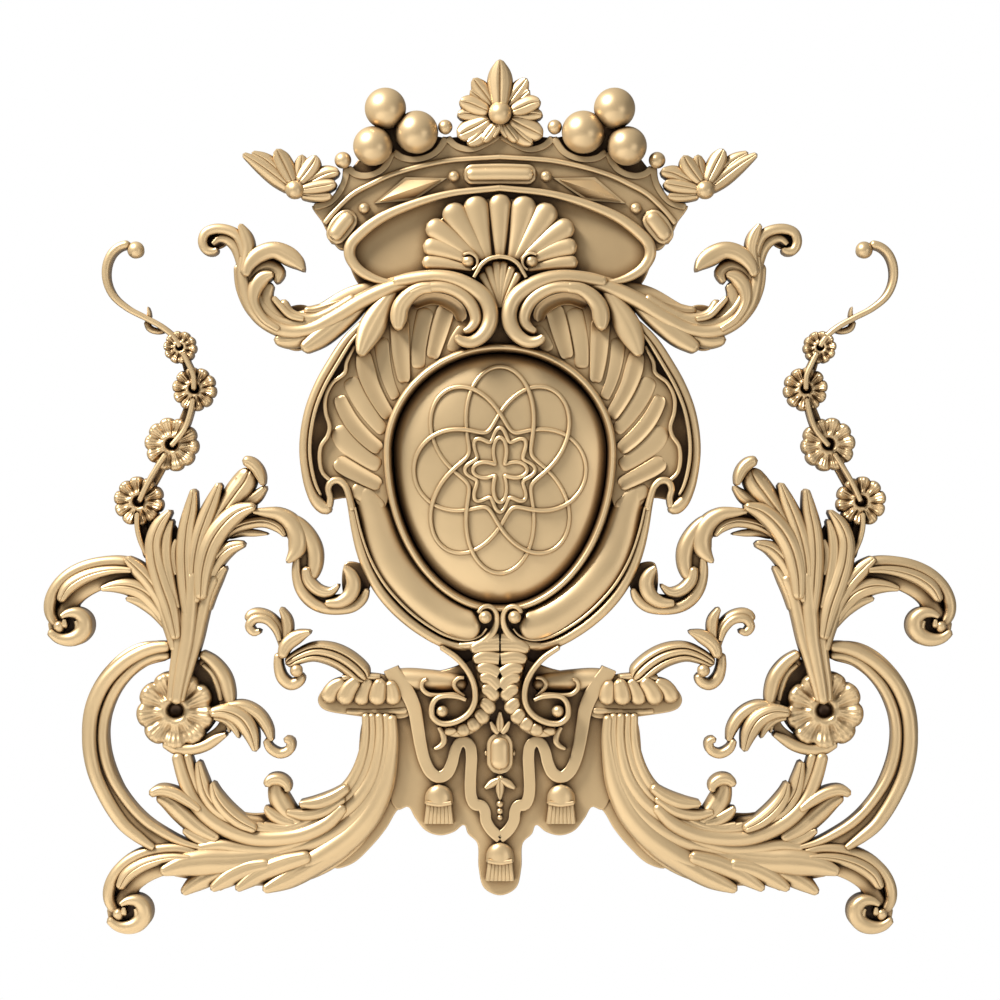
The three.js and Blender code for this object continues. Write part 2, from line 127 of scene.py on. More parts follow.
def profile(kind, s, count):
    """Rise of a section over s, which runs from -1 at one edge to 1 at the other. A hollow
    section stays up at its edges and sinks in the middle; the others rise from 0 to their
    crown, a vein with engraved lines, a leaf with one soft crease and the rest with reeds."""
    if kind == "round":
        return np.sqrt(np.maximum(1 - s**2, 0))
    if kind == "flat":
        return np.sqrt(np.maximum(1 - np.abs(s) ** 10, 0))
    if kind == "vein":
        groove = 0.24 * np.exp(-((s / 0.12) ** 2)) + 0.09 * np.exp(-(((np.abs(s) - 0.5) / 0.12) ** 2))
        return np.maximum(1 - np.abs(s) ** 2.2, 0) ** 0.55 * (1 - groove)
    if kind == "leaf":
        crease = 0.1 * np.exp(-(((s - 0.15) / 0.14) ** 2))
        return np.maximum(1 - np.abs(s) ** 2.4, 0) ** 0.6 * (1 - crease)
    if kind == "hollow":
        return np.sqrt(np.maximum(1 - np.abs(s) ** 16, 0)) * (0.2 + 0.8 * np.abs(s) ** 2.4)
    reed = np.abs(np.sin(count * np.pi * (s + 1) / 2))
    return np.maximum(1 - np.abs(s) ** 3, 0) ** 0.5 * (0.6 + 0.4 * np.sqrt(reed))


class Carving:
    """Collects skins of vertices, quads and painted shade values into one mesh."""

    def __init__(self, name):
        self.name = name
        self.points = []
        self.quads = []
        self.caps = []
        self.painted_shading = []
        self.count = 0

    def add_grid(self, grid, hollow, loop=False):
        """Adds rings of points, each closed on itself. The rings are joined to the next one,
        and the last to the first in a loop; else the first and last ring each get a cap."""
        rows, columns = grid.shape[:2]
        index = np.arange(rows * columns).reshape(rows, columns) + self.count
        near = index if loop else index[:-1]
        far = np.roll(index, -1, axis=0) if loop else index[1:]
        quads = np.stack([near, np.roll(near, -1, 1), np.roll(far, -1, 1), far], -1)
        self.quads.append(quads.reshape(-1, 4))
        if not loop:
            self.caps.append(index[0][::-1].tolist())
            self.caps.append(index[-1].tolist())
        self.points.append(grid.reshape(-1, 3))
        self.painted_shading.append(np.broadcast_to(hollow, (rows, columns)).reshape(-1))
        self.count += rows * columns

    def mirrored(self):
        """Doubles the carving by its reflection in the centre line."""
        points = np.vstack(self.points)
        quads = np.vstack(self.quads)
        self.points = [points, points * np.array([-1, 1, 1])]
        self.quads = [quads, quads[:, ::-1] + self.count]
        self.caps += [[i + self.count for i in cap[::-1]] for cap in self.caps]
        self.painted_shading = self.painted_shading * 2
        self.count *= 2
        return self

    def finish(self, material, crease=52):
        """Makes the carving a smooth piece that rides on the casting and stands for it. Edges
        that turn by more than the crease angle, in degrees, stay sharp."""
        data = bpy.data.meshes.new(self.name)
        faces = np.vstack(self.quads).tolist() + self.caps
        data.from_pydata(np.vstack(self.points).tolist(), [], faces)
        data.update()
        # The hollow attribute carries the painted shade that the material darkens by
        attribute = data.attributes.new("hollow", "FLOAT", "POINT")
        attribute.data.foreach_set("value", np.concatenate(self.painted_shading).astype(np.float32))
        data.shade_smooth()
        data.set_sharp_from_angle(angle=math.radians(crease))
        data.materials.append(material)
        piece = bpy.data.objects.new(self.name, data)
        bpy.context.scene.collection.objects.link(piece)
        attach(piece, "root")
        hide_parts("crest")


def place(x, y, depth):
    """Points of the drawing at heights in millimetres, in the crest's own frame."""
    return np.stack([(x - CENTRE) * UNIT, -depth * MM, (MOUNT_LEVEL - y) * UNIT], -1)


def stroke(carving, kind, top, line, bulge=0.85, ends="oo", fall=(1, 1), count=3, loop=False):
    """Carves a stroke. Each section stands on the back: a wall up to its edge, then
    edge + rise * profile over the width, where the rise is the bulge times the half width
    and at most half the height. An end marked o closes as a circle, one marked | is cut
    square. The crown runs from the first share of its height to the last."""
    path, at, length = stations(line, loop)
    x, y, half = path[:, 0], path[:, 1], np.maximum(path[:, 2], 0.2)
    closing = np.ones_like(x)
    if loop:
        dx = np.roll(x, -1) - np.roll(x, 1)
        dy = np.roll(y, -1) - np.roll(y, 1)
    else:
        dx, dy = np.gradient(x), np.gradient(y)
        for near, width, mark in ((at, half[0], ends[0]), (length - at, half[-1], ends[1])):
            if mark == "o":
                share = np.clip(near / max(width, 0.5), 0, 1)
                closing = closing * np.sqrt(1 - (1 - share) ** 2)
    norm = np.maximum(np.hypot(dx, dy), 1e-9)
    width = half * np.maximum(closing, 0.03)
    s = -np.cos(np.linspace(0, np.pi, 21 if kind in ("vein", "leaf") else 15))
    if kind == "reeds":
        s = np.linspace(-1, 1, 8 * count + 1)
    rise = profile(kind, s, count)
    crown = top * np.linspace(fall[0], fall[1], len(x)) * (0.84 + 0.16 * closing)
    low = crown - np.minimum(0.5 * crown, bulge * width * UNIT / MM)
    foot = np.full(len(x), FOOT)
    skin = low[:, None] + (crown - low)[:, None] * rise[None, :]
    depth = np.column_stack([foot, 0.5 * low, skin, 0.5 * low, foot])
    share = np.concatenate([[-1, -1], s, [1, 1]])
    grid = place(
        x[:, None] - (dy / norm * width)[:, None] * share,
        y[:, None] + (dx / norm * width)[:, None] * share,
        depth,
    )
    # Painted shade: walls and edges dark, the section darker as it falls away from its crown
    hollow = np.concatenate([[1, 0.6], 0.35 * (1 - rise) ** 2, [0.6, 1]])
    carving.add_grid(grid, hollow[None, :], loop)


def ball(carving, x, y, radius, top, low=-0.7):
    """A ball of a radius in grid units whose front reaches the given height: rings of
    latitude from the pole back to a low one, then straight down to the back."""
    r = radius * UNIT / MM
    latitude = np.linspace(0.5 * np.pi, low, 24)
    longitude = np.linspace(0, 2 * np.pi, 44, endpoint=False)
    share = np.maximum(np.append(np.cos(latitude), math.cos(low)), 0.003)
    level = np.maximum(np.append(top - r + r * np.sin(latitude), FOOT), FOOT)
    grid = place(
        x + radius * share[:, None] * np.cos(longitude),
        y + radius * share[:, None] * np.sin(longitude),
        np.broadcast_to(level[:, None], (len(level), len(longitude))),
    )
    # Painted shade: the ball darkens past its widest ring, where it turns away to the back
    hollow = np.append(np.clip(-1.3 * np.sin(latitude), 0, 1), 1)
    carving.add_grid(grid, hollow[:, None])


# A flower's section from its middle out: share of the radius, petal rise and eye rise
FLOWER_SHARES = (
    0.01, 0.1, 0.17, 0.2, 0.24, 0.29, 0.34, 0.38, 0.42, 0.5, 0.6, 0.7, 0.8, 0.88, 0.94, 0.98, 1, 1, 1,
)
FLOWER_PETAL = (0, 0, 0, 0, 0, 0, 0.1, 0.3, 0.5, 0.68, 0.8, 0.9, 1, 1, 0.93, 0.78, 0.5, 0.1, 0)
FLOWER_EYE = (0.2, 0.2, 0.3, 0.6, 0.85, 0.9, 0.82, 0.6, 0.36, 0.12, 0, 0, 0, 0, 0, 0, 0, 0, 0)
# Shares by which petals draw in and sink between each other, and their lines' rise
PETAL_NOTCH = 0.17
PETAL_DIP = 0.4
PETAL_LINE = 0.035


def flower(carving, x, y, radius, top, petals=10, turn=0.0):
    """A flower. Round the angle the petals swell as a root of |cos|. Out along the radius
    the height rises to an eye ring, falls, rises over the petals and drops at their tips."""
    angle = np.linspace(0, 2 * np.pi, petals * 16, endpoint=False)
    lobe = np.abs(np.cos(petals * (angle - turn) / 2)) ** 0.35
    shares = np.array(FLOWER_SHARES)[:, None]
    petal = np.array(FLOWER_PETAL)[:, None]
    eye = np.array(FLOWER_EYE)[:, None]
    tip = 1 - PETAL_NOTCH + PETAL_NOTCH * lobe
    reach = shares * (1 + (tip - 1) * np.clip((shares - 0.3) / 0.7, 0, 1))
    lines = PETAL_LINE * np.cos(4 * petals * (angle - turn)) * petal * (shares > 0.4)
    swell = petal * (1 - PETAL_DIP + PETAL_DIP * lobe) + lines
    level = top * (0.45 + 0.5 * swell + 0.5 * eye)
    level[-2] = 0.3 * top
    level[-1] = FOOT
    grid = place(
        x + radius * reach * np.cos(angle),
        y + radius * reach * np.sin(angle),
        level,
    )
    # Painted shade: darker between the petals, round the eye and down the walls
    hollow = np.clip(1.05 - swell - 1.1 * eye, 0, 1) ** 1.3
    hollow[:3] = 1
    hollow[-2:] = 1
    carving.add_grid(grid, hollow)


def faceted_gem(carving, corners, ridge, low, top):
    """A four-sided gem: a wall up to its corners, then flat facets that lean in to a ridge."""
    left, right = ridge
    middle = ((left[0] + right[0]) / 2, (left[1] + right[1]) / 2)
    x, y = np.array(corners, float).T
    crest_x, crest_y = np.array([left, middle, right, middle], float).T
    centre_x = crest_x + 0.02 * (x - crest_x)
    centre_y = crest_y + 0.02 * (y - crest_y)
    rings = [(centre_x, centre_y, top), (x, y, low), (x, y, FOOT)]
    grid = np.array([place(a, b, np.full_like(a, level)) for a, b, level in rings])
    # Painted shade: facets light, the corner ring a little darker, the wall dark
    carving.add_grid(grid, np.array([0.0, 0.2, 1.0])[:, None])


def plate(carving, top, outline, bevel=1.2):
    """A level plate with a rounded edge: rings of the outline, drawn in along its normals
    as they come up to the face, and a cap over the last of them."""
    line, _, _ = stations([(x, y, 1) for x, y in outline], loop=True, pitch=2.5)
    x, y = line[:, 0], line[:, 1]
    if np.sum(x * np.roll(y, -1) - np.roll(x, -1) * y) < 0:
        x, y = x[::-1], y[::-1]
    dx = np.roll(x, -1) - np.roll(x, 1)
    dy = np.roll(y, -1) - np.roll(y, 1)
    norm = np.maximum(np.hypot(dx, dy), 1e-9)
    drop = bevel * UNIT / MM
    face_inset = 1.5 * bevel
    rings = [(face_inset, 0), (bevel, 0), (0.3 * bevel, 0.3 * drop), (0, drop)]
    inset = np.array([ring[0] for ring in rings] + [0])[:, None]
    level = np.array([top - ring[1] for ring in rings] + [FOOT])[:, None]
    grid = place(x - dy / norm * inset, y + dx / norm * inset, level + 0 * x)
    # Painted shade: the face light, the bevel's foot and the wall darker
    hollow = np.array([0.25, 0.25, 0.1, 0.6, 1])[:, None]
    carving.add_grid(grid, hollow)


def both_halves(half):
    """An outline's left half, from the centre line round to it again, and its reflection."""
    return half + [(2 * CENTRE - x, y) for x, y in half[::-1] if x != CENTRE]


def carve_all(carving, strokes, swell=1.0, shift=(0, 0), **shared):
    """Carves each stroke of a table: its section, its height, its line and any options of
    its own beside the shared ones. Half widths are swelled and points are shifted."""
    for kind, top, line, *options in strokes.values():
        line = [(x + shift[0], y + shift[1], half * swell) for x, y, half in line]
        if kind == "vein":
            x, y, half = line[-1]
            line[-1] = (x, y, max(half, FINEST_TIP * line[-2][2]))
        stroke(carving, kind, top, line, **shared, **(options[0] if options else {}))


def carve_piece(name, strokes, swell=1.0, shift=(0, 0)):
    """A piece that is one table's strokes and their reflection."""
    carving = Carving(name)
    carve_all(carving, strokes, swell, shift)
    carving.mirrored().finish(COPPER)


# Copper whose colour carries painted shade in hollows, crevices and undersides


def casting_metal():
    """Warm gold-brown metal whose base colour carries painted shade: dark brown where the ambient occlusion
    finds nearby surfaces and where the hollow attribute is high, which also stands for dark patina in
    the crevices; tan on the open crests, with a little cloudiness in colour and gloss."""
    metal = bpy.data.materials.new("gilded_copper")
    metal.use_nodes = True
    nodes, links = metal.node_tree.nodes, metal.node_tree.links
    nodes.clear()
    out = nodes.new("ShaderNodeOutputMaterial")
    skin = nodes.new("ShaderNodeBsdfPrincipled")
    skin.inputs["Metallic"].default_value = 0.62
    skin.inputs["IOR"].default_value = 1.5
    links.new(skin.outputs["BSDF"], out.inputs["Surface"])
    where = nodes.new("ShaderNodeTexCoord")
    cloud = nodes.new("ShaderNodeTexNoise")
    cloud.inputs["Scale"].default_value = 45
    cloud.inputs["Detail"].default_value = 5
    links.new(where.outputs["Object"], cloud.inputs["Vector"])
    hollow = nodes.new("ShaderNodeAttribute")
    hollow.attribute_name = "hollow"
    # Painted shade: the ambient occlusion, less half the hollow attribute, darkens the base colour in
    # crevices and between parts
    shade = nodes.new("ShaderNodeAmbientOcclusion")
    shade.samples = 8
    shade.inputs["Distance"].default_value = 5 * MM
    open_share = nodes.new("ShaderNodeMapRange")
    open_share.inputs["From Min"].default_value = 0.25
    open_share.inputs["From Max"].default_value = 0.85
    links.new(shade.outputs["AO"], open_share.inputs["Value"])
    lit = nodes.new("ShaderNodeMath")
    lit.operation = "MULTIPLY_ADD"
    lit.inputs[1].default_value = -0.5
    lit.use_clamp = True
    links.new(hollow.outputs["Fac"], lit.inputs[0])
    links.new(open_share.outputs["Result"], lit.inputs[2])
    # Colours of the painted shade: near-black brown in full shade, mid brown, tan where open
    ramp = nodes.new("ShaderNodeValToRGB")
    ramp.color_ramp.elements[0].position = 0.0
    ramp.color_ramp.elements[0].color = (0.055, 0.026, 0.010, 1)
    ramp.color_ramp.elements[1].position = 1.0
    ramp.color_ramp.elements[1].color = (0.70, 0.51, 0.28, 1)
    middle = ramp.color_ramp.elements.new(0.45)
    middle.color = (0.36, 0.22, 0.095, 1)
    links.new(lit.outputs["Value"], ramp.inputs["Fac"])
    tint = nodes.new("ShaderNodeMix")
    tint.data_type = "RGBA"
    tint.blend_type = "MULTIPLY"
    tint.inputs["Factor"].default_value = 0.3
    links.new(ramp.outputs["Color"], tint.inputs["A"])
    links.new(cloud.outputs["Fac"], tint.inputs["B"])
    links.new(tint.outputs["Result"], skin.inputs["Base Color"])
    gloss = nodes.new("ShaderNodeMapRange")
    gloss.inputs["To Min"].default_value = 0.3
    gloss.inputs["To Max"].default_value = 0.42
    links.new(cloud.outputs["Fac"], gloss.inputs["Value"])
    links.new(gloss.outputs["Result"], skin.inputs["Roughness"])
    return metal


COPPER = casting_metal()


# Level grounds that carry the relief


def grounds():
    """The plates behind everything: crown band, cap, cartouche ground, cloth and webs."""
    carving = Carving("grounds")
    crown_band = [
        (500, 135), (471, 151), (447, 141), (418, 161), (392, 154), (367, 177), (348, 170),
        (341, 192), (329, 206), (312, 206), (322, 222), (330, 238), (342, 250), (370, 228),
        (430, 202), (500, 191),
    ]
    cap = [
        (500, 189), (430, 200), (382, 217), (355, 235), (348, 253), (354, 268), (378, 281),
        (420, 300), (500, 300),
    ]
    cartouche = [
        (500, 270), (402, 290), (372, 316), (345, 344), (322, 382), (308, 425), (306, 465),
        (313, 495), (326, 507), (331, 494), (334, 484), (350, 490), (370, 560), (430, 628),
        (500, 640),
    ]
    behind = [
        (500, 130), (440, 136), (402, 119), (379, 128), (360, 156), (332, 200), (346, 256), (360, 286),
        (385, 300), (340, 356), (312, 410), (305, 470), (318, 500), (352, 500), (366, 560),
        (402, 620), (462, 660), (500, 680),
    ]
    cloth = [
        (500, 640), (470, 660), (440, 671), (396, 672), (386, 684), (388, 716), (388, 765),
        (390, 800), (398, 810), (408, 807), (415, 818), (426, 831), (440, 835.5),
        (454, 832), (464, 825), (468, 834), (477, 843), (478.6, 868), (484, 888), (500, 895.5),
    ]
    cloth_corner = [
        (392, 762), (404, 786), (407, 806), (398, 810), (386, 829), (372, 846), (352, 864),
        (334, 868), (346, 838), (372, 806),
    ]
    plate(carving, BAND, both_halves(crown_band))
    plate(carving, CAP, both_halves(cap))
    plate(carving, FIELD, both_halves(cartouche))
    plate(carving, WEB, both_halves(behind))
    plate(carving, CLOTH, both_halves(cloth))
    for side in (-1, 1):
        corner = [(x if side < 0 else 2 * CENTRE - x, y) for x, y in cloth_corner]
        plate(carving, CLOTH - 0.3, corner)
    carving.finish(COPPER)


def webs():
    """Thin grounds between the outer forms."""
    carving = Carving("webs")
    hook_web = [(204, 232), (216, 230), (229, 234), (227, 243), (216, 249), (206, 248)]
    ring_web = [
        (186, 655), (206, 668), (217, 684), (221, 702), (215, 722), (198, 740), (176, 746),
        (160, 735), (176, 700),
    ]
    plume_web = [(150, 520), (170, 520), (196, 600), (180, 640), (160, 600), (146, 560)]
    branch_web = [(345, 563), (364, 566), (370, 586), (358, 602), (345, 600)]
    cap_web = [
        (342, 677), (326, 686), (318, 699), (322, 708), (344, 714), (410, 715), (402, 690),
        (388, 676),
    ]
    arm_web = [(290, 306), (308, 306), (320, 330), (300, 350), (284, 346), (276, 320)]
    scroll_web = [
        (196, 770), (240, 812), (300, 806), (350, 786), (366, 716), (396, 716), (392, 780),
        (340, 845), (262, 886), (200, 878), (170, 862), (190, 838), (206, 830),
    ]
    plate(carving, UNDER, cap_web)
    for outline in (hook_web, ring_web, plume_web, branch_web, arm_web, scroll_web):
        plate(carving, WEB, outline)
    carving.mirrored().finish(COPPER)


# Crown


CROWN_STROKES = {
    "scallop by the middle": ("flat", STRIP, [
        (500, 134, 4.2), (489, 142, 3.6), (471.5, 149.5, 3.4), (456, 146, 3.6), (446.5, 137, 4),
    ]),
    "second scallop": ("flat", STRIP, [
        (447, 137, 4), (435, 153, 3.6), (418, 159.5, 3.4), (403, 158, 3.6), (392.5, 151, 4),
    ]),
    "third scallop": ("flat", STRIP, [
        (393, 151, 4), (383, 169, 3.6), (367, 176, 3.4), (355, 174, 3.6), (347, 167, 4),
    ]),
    "end scallop": ("flat", STRIP, [
        (347, 166, 4), (345, 180, 3.4), (339, 193, 3.4), (329, 203, 3.4), (313, 207.5, 3.6),
    ]),
    "upper fillet": ("round", FILLET, [
        (324, 225, 3), (334, 212.6, 2.7), (353, 194.4, 2.6), (372, 184, 2.5), (391, 175.3, 2.5),
        (420, 166.7, 2.5), (448.7, 161, 2.5), (500, 157.5, 2.5),
    ], {"ends": "o|"}),
    "lower fillet": ("round", RIM, [
        (500, 188.7, 3), (448.7, 194.5, 3.4), (410.5, 205.5, 4.2), (382, 218, 5), (362.6, 232, 5.6),
        (351, 245, 5.8), (350, 256, 5.6), (357, 268, 5), (370, 277, 4.4), (384, 282, 3.4),
        (404, 285, 3),
    ], {"ends": "|o", "bulge": 0.7}),
    "end bar frame": ("flat", FILLET, [(331, 243, 8), (341, 228, 12), (354, 212, 9)], {"bulge": 0.2}),
    "end bar": ("round", LEAF, [(332, 240, 7), (342, 226, 7.8), (352, 214, 7)], {"bulge": 0.7}),
}

LOZENGE_FRAME = [(374.5, 203.8), (405.4, 177.6), (447, 178.4), (414.6, 200.4)]
LOZENGE_CORNERS = [(379.4, 202), (406, 180.6), (441, 180.2), (414.4, 197.8)]
LOZENGE_RIDGE = [(388, 198), (434, 182.4)]
CROWN_GEM_DOTS = [(454, 176.8, 5.5), (364.2, 208.8, 5.4)]
CROWN_PEARLS = [
    (385.6, 109, 20.7, PEARL), (416.8, 132.7, 21.6, PEARL), (373.1, 146.6, 19.8, PEARL),
    (445.3, 127.5, 7.3, LEAF), (343.1, 160.6, 8.4, LEAF),
]


def crown():
    """Crown: scalloped border, fillets, gems and pearls, and the gem on the centre line."""
    carving = Carving("crown_band")
    carve_all(carving, CROWN_STROKES)
    faceted_gem(carving, LOZENGE_FRAME, LOZENGE_RIDGE, STRIP + 0.4, STRIP + 0.5)
    faceted_gem(carving, LOZENGE_CORNERS, LOZENGE_RIDGE, STRIP + 0.5, RIM - 0.2)
    for x, y, radius in CROWN_GEM_DOTS:
        ball(carving, x, y, radius, RIM, low=-0.1)
    carving.mirrored()
    middle_frame = [(463, 175, 10), (500, 174.5, 10.6), (537, 175, 10)]
    middle_bar = [(466, 175, 6.6), (500, 174.5, 7), (534, 175, 6.6)]
    stroke(carving, "flat", FILLET, middle_frame, bulge=0.2)
    stroke(carving, "round", LEAF, middle_bar)
    carving.finish(COPPER, crease=28)
    pearls = Carving("crown_pearls")
    for x, y, radius, top in CROWN_PEARLS:
        ball(pearls, x, y, radius, top)
    pearls.mirrored().finish(COPPER)


PALMETTE_STROKES = {
    "upper leaf": ("vein", LEAF, [(494, 108, 5), (485, 95, 9), (478, 86, 8), (473, 79, 2)]),
    "upper leaf side": ("vein", RIM, [(492, 110, 5), (482, 101, 8), (475, 95, 6), (470, 91, 2)]),
    "middle leaf": ("vein", SHELL, [(490, 113, 5), (478, 108, 9), (468, 104, 8.6), (459, 103, 3)]),
    "middle leaf side": ("vein", RIM, [(490, 116, 5), (476, 115, 8), (466, 114.6, 7.4), (457, 116, 2)]),
    "lower leaf": ("vein", LEAF, [(491, 119, 6), (479, 126, 10), (467, 132, 11), (457, 137, 5)]),
    "lower leaf side": ("vein", RIM, [(493, 122, 5), (484, 132, 9), (475, 140, 8), (467, 145, 2)]),
    "foot leaf": ("vein", LEAF, [(496, 124, 4), (489, 134, 6.4), (482, 143, 4)]),
    "foot blade": ("vein", RIM, [(499, 122, 4), (496, 130, 5), (492, 139, 2)]),
    "side long leaf": ("vein", LEAF, [(292, 190, 6), (277, 178, 9), (261, 166, 7.6), (243, 154.5, 1)]),
    "side long leaf lip": ("vein", RIM, [(293, 187, 5), (279, 172, 8), (265, 160, 7), (252, 153, 2)]),
    "side second leaf": ("vein", SHELL, [(294, 185, 5), (287, 170, 9), (281, 158, 8.6), (277, 149.6, 2)]),
    "side second leaf lip": ("vein", LEAF, [(296, 184, 4), (291, 172, 6), (287, 162, 5), (285, 156, 1.4)]),
    "side third leaf": ("vein", LEAF, [(296, 184, 4), (300, 172, 7), (302, 163, 7), (302.5, 155, 2)]),
    "side fourth leaf": ("vein", SHELL, [(298, 185, 5), (308, 172, 9), (314, 163, 8), (317, 156, 2.4)]),
    "side fifth leaf": ("vein", LEAF, [(300, 188, 5), (315, 180, 9), (328, 174, 8.6), (340, 172, 3)]),
    "side sixth leaf": ("vein", SHELL, [(300, 191, 4), (316, 188, 7), (328, 186, 6.6), (337, 184, 3)]),
    "side foot leaf": ("vein", LEAF, [(300, 195, 4), (314, 197, 5), (326, 197, 5), (333, 197, 2)]),
}


def palmettes():
    """Palmettes on top of the crown and at its ends."""
    carving = Carving("crown_palmettes")
    carve_all(carving, PALMETTE_STROKES)
    ball(carving, 295.3, 190.6, 9.6, TRUNK)
    carving.mirrored()
    top_leaf = [(500, 112, 7), (500, 96, 11), (500, 82, 13), (500, 71, 10), (500, 60.5, 2)]
    stroke(carving, "vein", FRAME_BAND, top_leaf)
    ball(carving, 500, 114, 11.7, CURL)
    carving.finish(COPPER)


# Shell and volutes above the oval


SHELL_LOBE_BULGE = 0.55
SHELL_LOBES = {
    "lobe 1": ("round", LEAF, [
        (489, 262, 4), (482.6, 236, 8), (477, 212, 13), (474.5, 196, 13),
    ]),
    "lobe 2": ("round", LEAF, [
        (485, 262, 4), (470, 238, 8), (456, 217, 12.4), (448.5, 204.5, 12.4),
    ]),
    "lobe 3": ("round", LEAF, [
        (481, 263, 4), (461, 247, 7.4), (442, 233, 10.6), (427, 224, 10.4),
    ]),
    "lobe 4": ("round", LEAF, [
        (478, 266, 3.6), (459, 256, 6.4), (440, 249, 9.2), (423, 246, 9),
    ]),
    "lobe 5": ("round", LEAF, [
        (474, 270, 3), (456, 266.4, 4.6), (440, 264, 7), (422, 262.6, 7),
    ]),
}

SHELL_STROKES = {
    "inner arc": ("round", TRUNK, [
        (500, 257.5, 2), (490, 259.5, 2), (482, 265, 2), (477, 273, 1.8), (473, 280, 1.5),
    ], {"ends": "|o"}),
    "fan flute 1": ("round", SHELL, [(500.6, 310, 1.4), (498, 284, 3.8), (496, 260, 5)]),
    "fan flute 2": ("round", SHELL, [(500, 310, 1.4), (494, 286, 3.8), (487, 265, 5)]),
    "fan flute 3": ("round", SHELL, [(499, 310, 1.4), (489, 290, 3.8), (480, 272, 5)]),
    "fan flute 4": ("round", SHELL, [(498, 310, 1.4), (486, 296, 3.6), (475, 283, 4)]),
    "curl line": ("round", FRAME_BAND, [
        (462, 256, 1.2), (470, 254, 1.4), (477, 259, 1.4), (477, 267, 1.4), (471, 272, 1.2),
    ]),
}


def top_shell():
    """Scallop shell of eleven lobes over a small fan, with a curl at each side."""
    carving = Carving("top_shell")
    ground = [
        (500, 198), (475, 202), (452, 211), (434, 228), (430, 248), (428, 264), (440, 270),
        (470, 276), (500, 300),
    ]
    carve_all(carving, SHELL_LOBES, bulge=SHELL_LOBE_BULGE)
    carve_all(carving, SHELL_STROKES)
    ball(carving, 468.7, 262, 6.6, FRAME_BAND)
    carving.mirrored()
    middle_lobe = [(500, 262, 4), (500, 232, 8), (500, 194, 12.6)]
    stroke(carving, "round", LEAF, middle_lobe, bulge=SHELL_LOBE_BULGE)
    plate(carving, UNDER, both_halves(ground))
    carving.finish(COPPER)


VOLUTE_STROKES = {
    "outer roll": ("round", VOLUTE, [
        (392, 283, 5), (412, 280, 7.4), (438, 277.5, 7), (457, 281, 7.6), (473, 288.5, 8),
        (485, 299, 8), (490.5, 312, 8), (489.5, 325, 7.8), (482, 337, 6.8), (471, 343, 5.8),
        (460.5, 341, 4.6), (456, 336, 3),
    ], {"fall": (0.7, 1)}),
    "inner roll": ("round", CURL, [
        (408, 296, 4), (426, 289, 5.6), (443, 288, 5.6), (457, 292.5, 6), (468.5, 301, 6.4),
        (475, 312, 6.4), (476, 322, 6), (470, 330, 4.6), (463, 333, 3),
    ]),
    "channel": ("hollow", RIM, [
        (412, 305, 6), (432, 299, 6), (447, 302, 7), (459, 311, 7), (462, 322, 6),
    ]),
}


def top_volutes():
    """Volutes that roll in beside the centre line above the oval."""
    carve_piece("top_volutes", VOLUTE_STROKES)


